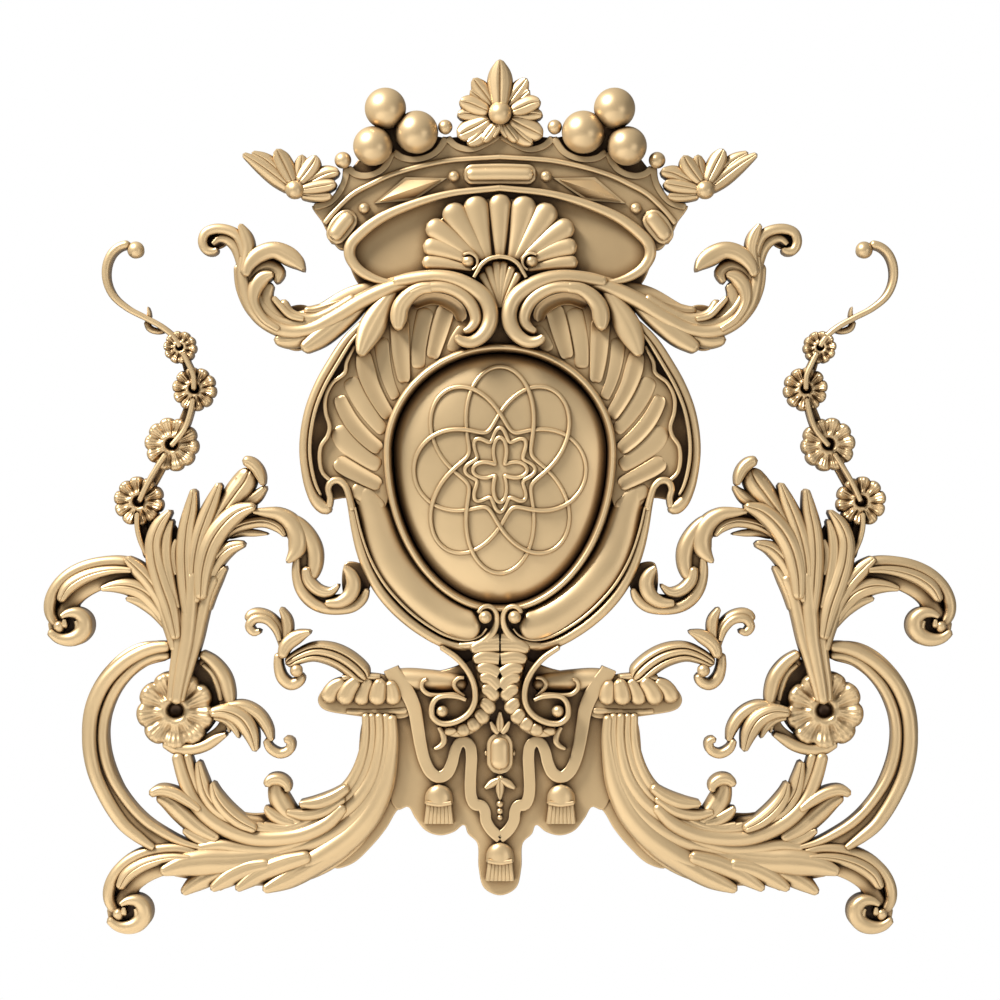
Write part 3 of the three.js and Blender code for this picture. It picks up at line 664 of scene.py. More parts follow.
UPPER_ARM_STROKES = {
    "core": ("round", UNDER, [
        (240, 262, 6), (246, 288, 9), (260, 310, 11), (285, 325, 11), (320, 318, 12),
        (356, 300, 13), (395, 288, 9), (420, 284, 7),
    ], {"bulge": 0.3}),
    "top channel": ("leaf", UNDER, [
        (425, 277, 4), (395, 282, 5), (372, 291, 5), (350, 299.6, 5.4), (330, 307, 5.8),
        (314, 311.6, 5.8), (303, 311, 4),
    ]),
    "middle reed": ("round", LEAF, [
        (282, 300, 4), (291, 314, 4.6), (310, 319, 4.6), (330, 314, 4.8), (355, 302, 5),
        (385, 288, 5.4), (415, 281, 5),
    ]),
    "lower reed": ("round", SHELL, [
        (243, 256, 2), (243, 270, 4.4), (245.4, 287, 5.6), (251, 305, 6.4), (264, 321, 6.6),
        (285, 331, 6.4), (310, 330, 6.4), (335, 318, 6.8), (365, 300, 7), (395, 287, 6.4),
        (418, 282, 5),
    ]),
    "inner reed": ("round", LEAF, [
        (249, 268, 4), (254, 290, 5), (264, 308, 5), (278, 320, 5), (298, 324, 5),
        (325, 315, 4.6), (356, 297, 4),
    ]),
    "underleaf": ("leaf", LEAF, [(320, 326, 5), (305, 335, 8.4), (290, 340, 8), (274, 340, 4)]),
    "long front leaf": ("leaf", FRAME_BAND, [
        (384, 286, 4), (366, 300, 6), (350.7, 314, 8), (335.4, 326, 9.4), (320, 338, 9), (302, 350.6, 4.6),
    ], {"bulge": 0.6, "fall": (0.74, 1)}),
    "pointed leaf": ("leaf", CURL, [
        (397, 287, 3), (388, 300, 6.4), (379, 315, 10.6), (371, 330, 11.6), (365, 344, 8.4),
        (360.6, 357, 3),
    ], {"bulge": 0.5, "fall": (0.72, 1)}),
    "small leaf": ("leaf", CURL, [
        (436, 288, 4.8), (420, 290, 5.6), (408, 298, 6.8), (401, 308, 7.6), (399, 320, 7.4),
        (398.6, 331.4, 3),
    ], {"bulge": 0.6}),
    "hook back": ("round", SHELL, [
        (246, 262, 4), (244, 248, 4.6), (238, 236, 4.8), (228, 230.6, 4.6), (215, 229.8, 4.6),
        (206, 234, 4.4), (203.4, 243, 4.2), (207, 250.6, 4), (214, 252, 3.2), (219, 249.4, 1.4),
    ]),
    "hook inner": ("round", RIM, [
        (243, 276, 4), (241, 260, 5), (236, 247, 5.4), (227, 239.6, 4.6), (219, 239.4, 3.4), (212, 246, 2),
    ]),
    "tip leaf": ("leaf", FRAME_BAND, [
        (243.6, 276, 3), (247, 262, 4.6), (249, 248, 5.8), (246, 236, 5.8), (240.4, 224.4, 2),
    ]),
    "second leaf": ("leaf", LEAF, [
        (250, 284, 5), (258, 271, 8), (270, 267, 8), (279, 273, 6), (276, 284, 2),
    ]),
    "big leaf": ("leaf", TRUNK, [
        (246, 278, 3), (250, 266, 5.6), (260, 255.6, 7.4), (275, 251, 7.6), (289, 256.6, 8.4),
        (298, 263, 6.4), (305, 271.6, 1),
    ], {"bulge": 0.6}),
    "front leaf": ("leaf", FRAME_BAND, [
        (281, 331, 3), (264, 319, 4), (254.6, 302, 5), (256.4, 287, 7.6), (264, 278, 7), (275, 274.6, 2),
    ]),
    "inner channel": ("round", RIM, [
        (272, 283, 3), (266.6, 295, 6), (269, 308, 7), (278, 319, 6.6), (292, 326, 5), (310, 326, 3),
    ], {"bulge": 0.5}),
    "near edge": ("round", SHELL, [
        (273, 297, 2.4), (281, 306, 3), (291, 316, 3), (306, 320, 2.6),
    ]),
}


def upper_arms():
    """Leafy arms that leave the volutes towards the upper corners."""
    carve_piece("upper_arms", UPPER_ARM_STROKES, swell=1.12)


# Cartouche


CARTOUCHE_FINGERS = {
    "finger 1": ("hollow", LOBE, [
        (382, 486, 7), (361, 475.6, 8.2), (346, 467.4, 9), (335, 459.8, 8),
    ]),
    "finger 2": ("hollow", LOBE, [
        (382, 451, 7), (366, 438, 7.8), (352, 422, 8), (343, 406, 7.4), (339, 395, 6),
    ]),
    "finger 3": ("hollow", LOBE, [
        (391, 419, 6.6), (380.5, 403, 7.6), (371.5, 385.5, 8.6), (365.6, 367, 9.4), (363, 350, 7),
    ]),
    "finger 4": ("hollow", LOBE, [
        (405, 384, 6), (402, 362, 8.4), (400.5, 343, 9.6), (399, 316, 10),
    ]),
    "finger 5": ("hollow", LOBE, [
        (432, 360, 6.4), (436, 345, 8), (441, 327, 9.4), (447.6, 304, 9.6),
    ]),
}

CARTOUCHE_FLUTES = {
    "flute below finger 1": ("round", FLUTE, [(384, 510, 6), (366, 496, 8), (350, 488, 7)]),
    "flute 1": ("round", FLUTE, [
        (382, 468, 7), (364, 457, 9), (346, 442, 11), (336, 425, 9),
    ]),
    "flute 2": ("round", FLUTE, [
        (386, 434, 6), (372, 417, 8), (358, 396, 9), (349, 376, 8),
    ]),
    "flute 3": ("round", FLUTE, [
        (397, 401, 5), (389, 382, 6), (384, 362, 7), (381, 336, 8),
    ]),
    "flute 4": ("round", FLUTE, [
        (418, 371, 7), (419, 348, 8), (422, 328, 8.6), (427, 306, 9),
    ]),
    "flute 5": ("round", FLUTE, [(450, 354, 7), (458, 340, 8), (468, 326, 8)]),
}

CARTOUCHE_STROKES = {
    "wavy edge": ("round", LEAF, [
        (356, 345, 1.6), (347, 362, 2), (345, 373, 2), (333, 383, 2), (326, 397, 2.2),
        (326, 412, 2), (330, 427, 2), (328, 436, 2), (321.5, 446, 2), (320, 460, 2.2),
        (323, 473, 2), (331, 481, 2),
    ]),
    "outer rim": ("round", LEAF, [
        (379, 309, 2.4), (358, 328.6, 4), (345.6, 342, 4.4), (331, 364.6, 4.8),
        (319.8, 384.5, 4.8), (310.8, 407, 4.8), (306, 428.6, 4.8), (304.4, 450, 4.8),
        (306.4, 471, 4.8), (311, 489, 5.4), (318.5, 503, 6.4), (326, 508, 6.6), (331, 505, 5),
    ]),
    "outer rim line": ("round", SHELL, [
        (366, 326, 1.2), (352, 342, 1.6), (337, 366, 1.8), (325.5, 386, 1.8), (316.6, 408, 1.8),
        (312, 429, 1.8), (310.4, 450, 1.8), (312.6, 470, 1.8), (317, 486, 1.6), (322, 496, 1),
    ]),
    "notch hook": ("round", LEAF, [
        (329, 509, 3), (330.5, 498, 3.2), (328.5, 489, 3.4), (332, 481.5, 3.6), (339, 480.6, 3.6),
        (345.5, 486, 3.4), (349.5, 497, 3.2), (353, 512, 3.4),
    ]),
    "outer bead": ("round", RIM, [
        (347.6, 489, 3), (351.6, 506, 3.8), (355.6, 527, 4.6), (361, 549, 5.2), (368.6, 570, 5.4),
        (379, 589, 5.4), (392, 605.4, 5.4), (408, 620.4, 5.2), (424, 632, 5), (441, 641.4, 4.8),
        (458, 646, 4.6), (470, 646, 4.4),
    ]),
    "bead curl": ("round", CURL, [
        (456, 645.6, 4), (470, 645, 4.4), (481.6, 642.4, 4.2), (490.6, 635, 3.8), (496, 625, 3.2),
        (496.6, 615, 2.8), (493.4, 608.6, 2.5), (487.6, 606, 2.4), (481.6, 608, 2.4), (478.6, 614, 2.6),
    ], {"fall": (0.7, 1)}),
    "bead line": ("round", LEAF, [
        (355, 506, 1), (360.6, 530, 1.2), (367, 550, 1.2), (374.6, 567, 1.4), (385.4, 584.6, 1.4),
        (398, 599.6, 1.4), (413.6, 614.4, 1.4), (429, 625.6, 1.4), (445, 634.6, 1.4),
        (459, 639, 1.4), (471, 639, 1.3), (481, 635, 1.2), (488, 627, 1),
    ]),
    "frame band": ("round", FRAME_BAND, [
        (362, 486, 8), (369, 500, 15), (375, 517.6, 18), (381, 540, 19.4), (391, 563, 20.4),
        (407.5, 584.6, 19.4), (423.5, 600.3, 18.6), (441.5, 613.8, 18), (459, 622.7, 17.4),
        (471, 625.3, 15.6), (481, 625, 9),
    ], {"bulge": 0.6, "fall": (0.7, 1)}),
}

# Ground of the fluted field, from the oval out to the wavy edge
SHELL_FIELD = [
    (470, 347), (444, 358), (418, 377), (399, 402), (388, 434), (385, 466), (390, 495),
    (378, 515), (358, 505), (348, 486), (332, 480), (321, 470), (322, 446), (330, 432),
    (327, 412), (328, 395), (335, 383), (346, 373), (349, 360), (358, 344), (376, 325),
    (400, 306), (440, 298), (466, 304), (478, 326),
]


def cartouche():
    """Cartouche: outer rim, fluted shell field, notched hook and the lower frame band."""
    carving = Carving("cartouche")
    carve_all(carving, CARTOUCHE_FINGERS, bulge=0.34)
    carve_all(carving, CARTOUCHE_FLUTES, bulge=0.2)
    carve_all(carving, CARTOUCHE_STROKES)
    plate(carving, FLUTE - 0.5, SHELL_FIELD)
    ball(carving, 485.4, 616.6, 6.4, VOLUTE - 1.5)
    carving.mirrored().finish(COPPER)


# The oval and the wires on it


OVAL_MIDDLE = 452
OVAL_HALF_WIDTH = 118
OVAL_UP = 110
OVAL_DOWN = 163
# How far the bead and the groove beside it are drawn in, and the rises of bead and cushion
BEAD_INSET = 5.5
BEAD_HALF = 3.2
BEAD_RISE = 1.4
GROOVE_INSET = 12
CUSHION_RISE = 5.4


def egg(angle, inset):
    """The oval's outline drawn in by an inset: half an ellipse up, a taller half down."""
    reach = np.where(np.cos(angle) > 0, OVAL_UP, OVAL_DOWN)
    x = CENTRE + (OVAL_HALF_WIDTH - inset) * np.sin(angle)
    y = OVAL_MIDDLE - (reach - inset) * np.cos(angle)
    return x, y


def cushion(share):
    """Height of the cushion at a share of the way from its middle out to the groove."""
    return FIELD + CUSHION_RISE * np.maximum(1 - share**2.6, 0) ** 0.62


def oval():
    """The oval: rings of a domed cushion, a groove and a bead, each at how far it is drawn in
    and its height, then a wall to the back. The cushion's rings are its edge made smaller."""
    angle = np.linspace(0, 2 * np.pi, 180, endpoint=False)
    cushion_half = OVAL_HALF_WIDTH - GROOVE_INSET
    rings = [(OVAL_HALF_WIDTH - 0.4, cushion(0.0))]
    rings += [(OVAL_HALF_WIDTH - cushion_half * r, cushion(r)) for r in np.linspace(0, 1, 26)[1:]]
    rings += [(GROOVE_INSET - 1.5, FIELD)]
    for turn in np.linspace(0, math.pi, 9):
        rings.append((BEAD_INSET + BEAD_HALF * math.cos(turn), RIM + BEAD_RISE * math.sin(turn)))
    rings += [(0, 0.5 * RIM), (0, FOOT)]
    grids = []
    for drawn_in, height in rings:
        x, y = egg(angle, min(drawn_in, GROOVE_INSET))
        if drawn_in > GROOVE_INSET:
            share = (OVAL_HALF_WIDTH - drawn_in) / cushion_half
            x = CENTRE + (x - CENTRE) * share
            y = OVAL_MIDDLE + (y - OVAL_MIDDLE) * share
        grids.append(place(x, y, np.full_like(x, height)))
    # Painted shade: the groove and the foot of the wall are painted dark
    dark_from, dark_to = 7.5, 14
    deep = [float(dark_from < drawn_in < dark_to or drawn_in == 0) for drawn_in, _ in rings]
    carving = Carving("oval_field")
    carving.add_grid(np.array(grids), np.array(deep)[:, None])
    carving.finish(COPPER)


def cushion_height(x, y):
    """Height of the oval's cushion under points of the drawing."""
    reach = np.where(y < OVAL_MIDDLE, OVAL_UP, OVAL_DOWN) - GROOVE_INSET
    return cushion(np.hypot((x - CENTRE) / (OVAL_HALF_WIDTH - GROOVE_INSET), (y - OVAL_MIDDLE) / reach))


def wire(carving, x, y, radius, weave):
    """A round wire along a line that follows the cushion, sunk a little into it, and weaves:
    it is lifted by a part that swings with the weave, from -1 to 1."""
    sink, lift, swing = 0.4, 0.7, 0.3
    dx, dy = np.gradient(x), np.gradient(y)
    norm = np.maximum(np.hypot(dx, dy), 1e-9)
    turn = np.linspace(np.pi, 0, 9)
    share = np.concatenate([[-1], np.cos(turn), [1]])
    rise = np.sin(turn)
    ground = cushion_height(x, y) - sink
    level = ground[:, None] + lift + swing * weave + rise * radius * UNIT / MM
    grid = place(
        x[:, None] - (dy / norm * radius)[:, None] * share,
        y[:, None] + (dx / norm * radius)[:, None] * share,
        np.column_stack([ground - sink, level, ground - sink]),
    )
    # Painted shade: the wire's sides and its ground line darker, its crown light
    hollow = np.concatenate([[1], 1 - rise, [1]])
    carving.add_grid(grid, (0.7 * hollow)[None, :])


# Turns, lobes, middle reach, swing and steps of each wire of the wreath
WREATH_WIRES = ((3, 8, 60, 26, 900), (1, 4, 17, 10, 240), (1, 8, 30, 5, 300))
WREATH_MIDDLE = 470
WREATH_TALL = 1.2
WIRE_RADIUS = 2.3


def interlace():
    """A plain woven wreath of three wires: one of eight lobes that goes three times round,
    and inside it one of four and one of eight. Each runs as x = reach * sin(turns) and
    y = reach * cos(turns), where the reach swings with the lobes."""
    carving = Carving("wire_interlace")
    for turns, lobes, middle, swing, steps in WREATH_WIRES:
        t = np.linspace(0, 2 * np.pi, steps)
        reach = middle + swing * np.cos(lobes * t)
        x = CENTRE + reach * np.sin(turns * t)
        y = WREATH_MIDDLE - WREATH_TALL * reach * np.cos(turns * t)
        wire(carving, x, y, WIRE_RADIUS, np.sin(lobes * t)[:, None])
    carving.finish(COPPER)


# Neck and lambrequin


NECK_STROKES = {
    "horn": ("round", LEAF, [
        (485, 642, 14), (486, 655, 13.6), (488, 676, 11.6), (487, 696, 10.6), (480, 713, 10),
        (469, 725, 8.6), (454, 730, 6.6), (443, 728, 3),
    ], {"bulge": 0.5}),
    "wire": ("round", TRUNK, [
        (440, 646, 2.4), (455, 656, 2.8), (463, 664, 2.8), (470, 674, 2.8), (474.5, 686, 2.8),
        (475, 700, 2.8), (470, 711, 2.8), (462, 718, 2.8), (450, 722.5, 2.8), (440, 722, 2.8),
        (433, 716, 2.8), (432, 708, 2.8), (434, 701, 2.6), (440, 696, 2.4), (457.4, 696, 2.2),
        (467.6, 700, 1.6),
    ]),
    "tail leaf": ("round", LEAF, [
        (438, 725, 2), (443, 733, 3.2), (444, 741, 3), (440, 746, 2.4), (433, 749, 1),
    ]),
    "roller": ("round", FILLET, [(386, 681, 9), (404, 680, 11.4), (430, 681, 11), (468, 684, 9)]),
    "strap curl left": ("round", LEAF, [
        (428, 678, 1.8), (423, 681, 2), (422, 687, 2.2), (427, 693, 2.2), (436, 695, 2.2),
        (455, 694, 2), (464, 697, 1.6),
    ]),
    "strap curl right": ("round", LEAF, [
        (466, 677, 1.8), (458, 678, 2), (454, 684, 2.2), (458, 691, 2), (466, 697, 1.4),
    ]),
}

# Ribs of the twisted horn: each runs from its outer end to the centre line
HORN_RIBS = [
    ((484, 642), (491, 639.4), (499, 638.6)),
    ((470, 650.4), (481.6, 645.6), (499, 645)),
    ((472.4, 661), (483, 657), (499, 658.4)),
    ((476, 670), (486.4, 667.6), (498.6, 673.6)),
    ((478.6, 679), (489, 677.6), (499, 687)),
    ((480, 689), (489, 690), (497.4, 700)),
    ((479, 700), (486.4, 704), (493, 713)),
    ((475, 709), (481.4, 715.4), (486.4, 723)),
    ((468.6, 717), (473.6, 724.4), (476, 731)),
    ((461, 722), (463.4, 729.4), (463.4, 736)),
    ((451, 725), (451, 731), (452, 735)),
]

LAMBREQUIN_STROKES = {
    "strip": ("flat", FILLET, [
        (391, 668.6, 7.6), (393, 673, 8), (397.6, 679, 8), (403.6, 687, 7.8),
        (410, 697, 7.4), (415, 710, 7),
        (418, 728, 6.6), (421, 746, 6.2), (425, 761, 6), (431, 772, 6), (439, 777, 6),
        (447, 773, 6), (452, 763, 5.8), (455, 751, 5.6), (459, 743, 5.4), (465, 741, 5.4),
        (470, 746, 5.6), (471.6, 756, 5.8), (471, 770, 5.8), (470.4, 786, 5.8),
        (471.4, 797, 5.8), (475, 804, 5.8), (482, 805.6, 5.6), (485, 811, 5.6), (486, 820, 5.6),
        (491, 829, 5.6), (500.5, 838, 5.6),
    ], {"ends": "||", "bulge": 0.14}),
}


def neck():
    """Neck below the oval: twisted ribbed horns, wire scrolls, straps and the roller."""
    carving = Carving("neck_scrolls")
    carve_all(carving, NECK_STROKES)
    for outer, middle, inner in HORN_RIBS:
        line = [(*outer, 3.6), (*middle, 7), (*inner, 6)]
        ends = "o|" if inner[0] > CENTRE - 2 else "oo"
        stroke(carving, "leaf", SHELL, line, bulge=0.5, ends=ends)
    ball(carving, 442, 710.7, 6.4, TRUNK)
    carving.mirrored().finish(COPPER)


def tassel(carving, x, y, half, skirt_length):
    """A tassel: a domed head with a rolled lower edge over a skirt of seven strands."""
    head_length = 19
    collar_y = y + 17.5
    skirt_y = y + 18
    head = [(x, y, half * 0.94), (x, y + head_length, half)]
    stroke(carving, "round", SHELL, head, ends="o|", bulge=0.7)
    collar = [(x - half, collar_y, 2), (x, collar_y + 2, 2.4), (x + half, collar_y, 2)]
    stroke(carving, "round", SHELL, collar)
    for lean in np.linspace(-1, 1, 7):
        start = (x + lean * half * 0.7, skirt_y, half * 0.15)
        end = (x + lean * half * 0.86, skirt_y + skirt_length, half * 0.19)
        stroke(carving, "round", RIM, [start, end], ends="||")


def lambrequin():
    """Draped lambrequin: strips, the medallion on the centre line and three tassels."""
    carving = Carving("lambrequin")
    carve_all(carving, LAMBREQUIN_STROKES)
    tassel(carving, 439, 784, 14.3, 21)
    side_ear = [(488, 752.8, 3.4), (484.4, 752.8, 3.6)]
    palmette_side = [(499, 734, 2), (494, 728, 3), (490, 720, 0.8)]
    pendant_side = [(500, 778, 2), (492, 783, 4), (484, 788.5, 1)]
    for line in (side_ear, palmette_side, pendant_side):
        stroke(carving, "round", RIM, line)
    carving.mirrored()
    tassel(carving, 500, 842, 14, 20)
    medallion_frame = [(500, 732.2, 13.2), (500, 773.6, 13.2)]
    medallion_gem = [(500, 736.4, 9.2), (500, 769.4, 9.2)]
    stroke(carving, "hollow", LEAF, medallion_frame, bulge=0.3)
    stroke(carving, "round", SHELL, medallion_gem, bulge=0.6)
    stroke(carving, "vein", RIM, [(500, 733, 3), (500, 722, 4.6), (500, 710, 0.8)])
    stroke(carving, "vein", RIM, [(500, 774, 3), (500, 788, 4.6), (500, 800, 0.8)])
    for y, radius in ((803.8, 3.8), (811, 3.3), (817.4, 2.8)):
        ball(carving, 500, y, radius, FILLET, low=-0.1)
    carving.finish(COPPER)


SIDE_CAP_LOBES = {
    "lobe 1": ("leaf", LEAF, [(346, 680, 4.6), (334, 688, 8), (325.6, 702, 8.4)]),
    "lobe 2": ("leaf", SHELL, [(359, 678, 5), (349, 689, 8.2), (342.4, 704, 8.8)]),
    "lobe 3": ("leaf", LEAF, [(371, 678, 5), (364, 690, 8.2), (359.6, 705, 8.8)]),
    "lobe 4": ("leaf", SHELL, [(382, 678, 5), (378.6, 690, 8.2), (376.6, 705, 8.8)]),
    "lobe 5": ("leaf", LEAF, [(389, 680, 5), (392, 691, 8), (393.6, 705, 8.6)]),
}

SIDE_CAP_STROKES = {
    "top edge": ("round", RIM, [(341, 678, 3), (360, 676, 3.4), (382, 677, 3)]),
    "shelf": ("round", RING, [(345, 711, 3), (376, 712, 4), (409, 710, 4)]),
}


def side_caps():
    """Gadrooned caps over the big lower scrolls."""
    carving = Carving("side_caps")
    carve_all(carving, SIDE_CAP_LOBES, bulge=0.6)
    carve_all(carving, SIDE_CAP_STROKES)
    carving.mirrored().finish(COPPER)


LOWER_SCROLL_STROKES = {
    "reed core": ("round", UNDER, [
        (380, 712, 13), (379, 750, 15), (366, 786, 18), (340, 818, 22), (300, 840, 22),
        (255, 842, 18), (215, 836, 10),
    ], {"bulge": 0.3}),
    "foot core": ("round", UNDER, [
        (378, 790, 8), (350, 832, 16), (305, 858, 20), (250, 868, 16), (205, 868, 12), (168, 866, 8),
    ], {"bulge": 0.3}),
    "bundle core": ("round", UNDER, [
        (181, 754, 7), (190, 780, 10), (208, 808, 11), (236, 826, 12), (270, 832, 12),
    ], {"bulge": 0.3}),
    "inner reed": ("round", LEAF, [
        (366, 712, 3.4), (366, 734, 3.8), (363.5, 752, 4.4), (357, 771, 5), (347, 787, 5.4),
        (331, 800, 5.6), (313, 806, 4.6), (300, 806, 2),
    ]),
    "second reed": ("round", RIM, [
        (372, 712, 3.4), (372.6, 734, 4), (370, 754, 5), (362, 776, 6), (348, 795, 6.6),
        (328, 808, 6.6), (305, 815, 6), (283, 815, 3),
    ]),
    "third reed": ("round", LEAF, [
        (379, 712, 3.8), (380, 734, 4.4), (377.6, 756, 5.4), (370, 780, 6.6), (354, 802, 7.6),
        (331, 818, 7.6), (305, 826, 7), (276, 829, 5.6), (256, 823, 2),
    ]),
    "fourth reed": ("round", RIM, [
        (386, 712, 3.6), (387, 734, 4.4), (384.4, 759, 5.6), (376, 786, 7.2), (360, 811, 8.4),
        (337, 830, 8.8), (309, 843, 8.4), (276, 850, 7), (245, 850, 5), (222, 842, 2),
    ]),
    "outer reed": ("round", LEAF, [
        (391.6, 714, 4.4), (393, 734, 5), (391, 755, 6.4), (384.6, 784, 9), (371, 812, 11),
        (351, 835, 12), (326, 853, 12), (300, 868, 10),
    ]),
    "bundle outer": ("round", SHELL, [
        (177, 752, 5), (184, 776, 6), (193, 798, 6.6), (208, 816, 7), (228, 829, 7.4),
        (252, 837, 7.6), (277, 838, 7.6), (303, 834, 7.4), (328, 822, 7), (346, 804, 5),
    ]),
    "bundle inner": ("round", LEAF, [
        (187, 752, 4), (193, 773, 4.6), (201, 791, 5), (214, 806, 5), (231, 818, 5),
        (252, 826, 5), (275, 829, 5), (296, 825, 4.6), (318, 814, 4),
    ]),
    "top tip leaf": ("leaf", FRAME_BAND, [
        (350, 785, 4), (334, 796, 6), (318, 802, 6), (299, 803, 2.4),
    ]),
    "second tip leaf": ("leaf", SHELL, [
        (346, 796, 4), (324, 810, 6.6), (305, 814, 6), (286, 811, 2.4),
    ]),
    "curled leaf": ("leaf", LEAF, [
        (304, 822, 6), (290, 813, 9), (281, 801, 10), (277, 789, 8), (277, 778, 5),
    ]),
    "curled leaf lip": ("leaf", FRAME_BAND, [
        (266, 786, 3), (271, 779.6, 5), (280, 778.6, 5.4), (287.6, 784, 4.4), (288.6, 792, 2),
    ]),
    "side leaf": ("leaf", LEAF, [(298, 823, 4), (284, 820, 6.4), (273, 814, 6), (265, 806, 2)]),
    "low leaf": ("leaf", LEAF, [(324, 820, 4), (300, 827, 6.4), (278, 828, 6), (263, 823, 2)]),
    "inner spray": ("vein", FRAME_BAND, [
        (258, 829, 4), (240, 820, 7), (226, 808, 7.4), (217, 795, 6), (213, 781, 2),
    ]),
    "second spray": ("vein", SHELL, [
        (238, 821, 5), (219, 809, 7.6), (207, 794, 7.4), (202, 778, 6), (199, 760, 2.4),
    ]),
    "rolled leaf": ("leaf", LEAF, [
        (220, 839, 5), (199, 827, 9), (183, 813, 10), (169, 801, 8), (157, 795, 4),
    ]),
    "rolled leaf lip": ("leaf", FRAME_BAND, [
        (150, 794, 3.4), (160, 789.6, 5), (174, 792, 5.4), (187, 799, 5), (202, 810, 3),
    ]),
    "under leaf": ("leaf", RIM, [(226, 846, 5), (208, 842, 7.4), (195, 836, 6), (183, 829, 2)]),
    "bottom leaf upper line": ("round", LEAF, [
        (196, 848, 4), (220, 845, 6.4), (246, 848, 7), (272, 848, 7), (300, 840, 6), (328, 824, 4.6),
    ]),
    "long bottom leaf": ("leaf", TRUNK, [
        (318, 841, 6), (290, 851, 9), (260, 858, 11), (232, 861, 12.4), (206, 861.4, 12.6),
        (184, 864, 10), (161, 871, 3.4),
    ], {"bulge": 0.6, "fall": (0.66, 1)}),
    "tip 1": ("leaf", LEAF, [(230, 868, 6), (210, 875, 9.6), (195, 883, 8), (182, 893, 3)]),
    "tip 2": ("leaf", SHELL, [(272, 863, 6), (245, 869, 9.6), (227, 878, 8.4), (211, 889, 3)]),
    "tip 3": ("leaf", SHELL, [(312, 855, 6), (284, 863, 9.6), (258, 874, 9), (236, 889, 3)]),
    "tip 4": ("leaf", SHELL, [
        (380, 796, 5), (364, 824, 9), (342, 845, 11), (315, 862, 11.6), (288, 877.6, 10), (263, 889.6, 3.4),
    ], {"fall": (0.76, 1)}),
}


def lower_scrolls():
    """Big reeded scrolls at the foot with their leaves."""
    carve_piece("lower_scrolls", LOWER_SCROLL_STROKES, swell=1.12)


# Rolled arms at the outer left, used again lower down
ROLLED_ARM_STROKES = {
    "outer rim": ("round", LEAF, [
        (158, 584, 5), (142, 570.6, 6.6), (126, 563, 6.6), (106, 562.4, 6.4), (85, 567, 6.4),
        (69, 575.4, 6.4), (57, 588, 6.4), (51, 602, 6.2), (51, 613, 5.6), (55, 621, 4.6),
        (61, 626, 2.6),
    ]),
    "light leaf": ("vein", FRAME_BAND, [
        (134, 570, 2.6), (116, 569.6, 4), (98, 572.6, 5.6), (82, 578.6, 6.6), (69, 588, 6.8),
        (61, 602, 4),
    ]),
    "under band": ("round", RING, [
        (166, 602, 5), (146, 586, 7), (126, 578, 8), (106, 580, 8.4), (88, 587, 8.6),
        (76, 596, 8.4), (66, 610, 8), (58, 622, 8),
    ], {"bulge": 0.4}),
    "slot ground": ("flat", WEB, [(46, 606, 8), (62, 604, 9), (80, 602, 8)]),
    "eye ground": ("flat", BAND, [(48, 624, 15), (70, 626, 18), (94, 626, 16)], {"bulge": 0.2}),
    "eye ring": ("round", CURL, [
        (62, 617, 2), (70, 612.8, 4.2), (79, 612.8, 6), (85.6, 619, 7.4), (86, 628, 8.2), (80, 635.6, 8.2),
        (71, 639, 7), (60, 637.6, 5.2), (50, 630, 3.4),
    ]),
    "eye leaf": ("round", TRUNK, [
        (77, 618.6, 1.6), (80, 625, 3.6), (79.6, 632, 4.6), (74, 637, 4.6),
    ]),
    "tongue": ("round", CURL, [(57, 622, 4), (63, 627.6, 6.4), (66, 629, 6.6)]),
    "tongue tip": ("round", CURL, [(66.6, 618, 1.2), (66.6, 623, 3), (66, 628, 4)]),
}


def rolled_arms():
    """Arms that end in a rolled eye: a ring that winds in round a tongue."""
    for name, shift in (("plume_arms", (0, 0)), ("foot_arms", (59, 286.5))):
        carve_piece(name, ROLLED_ARM_STROKES, shift=shift)


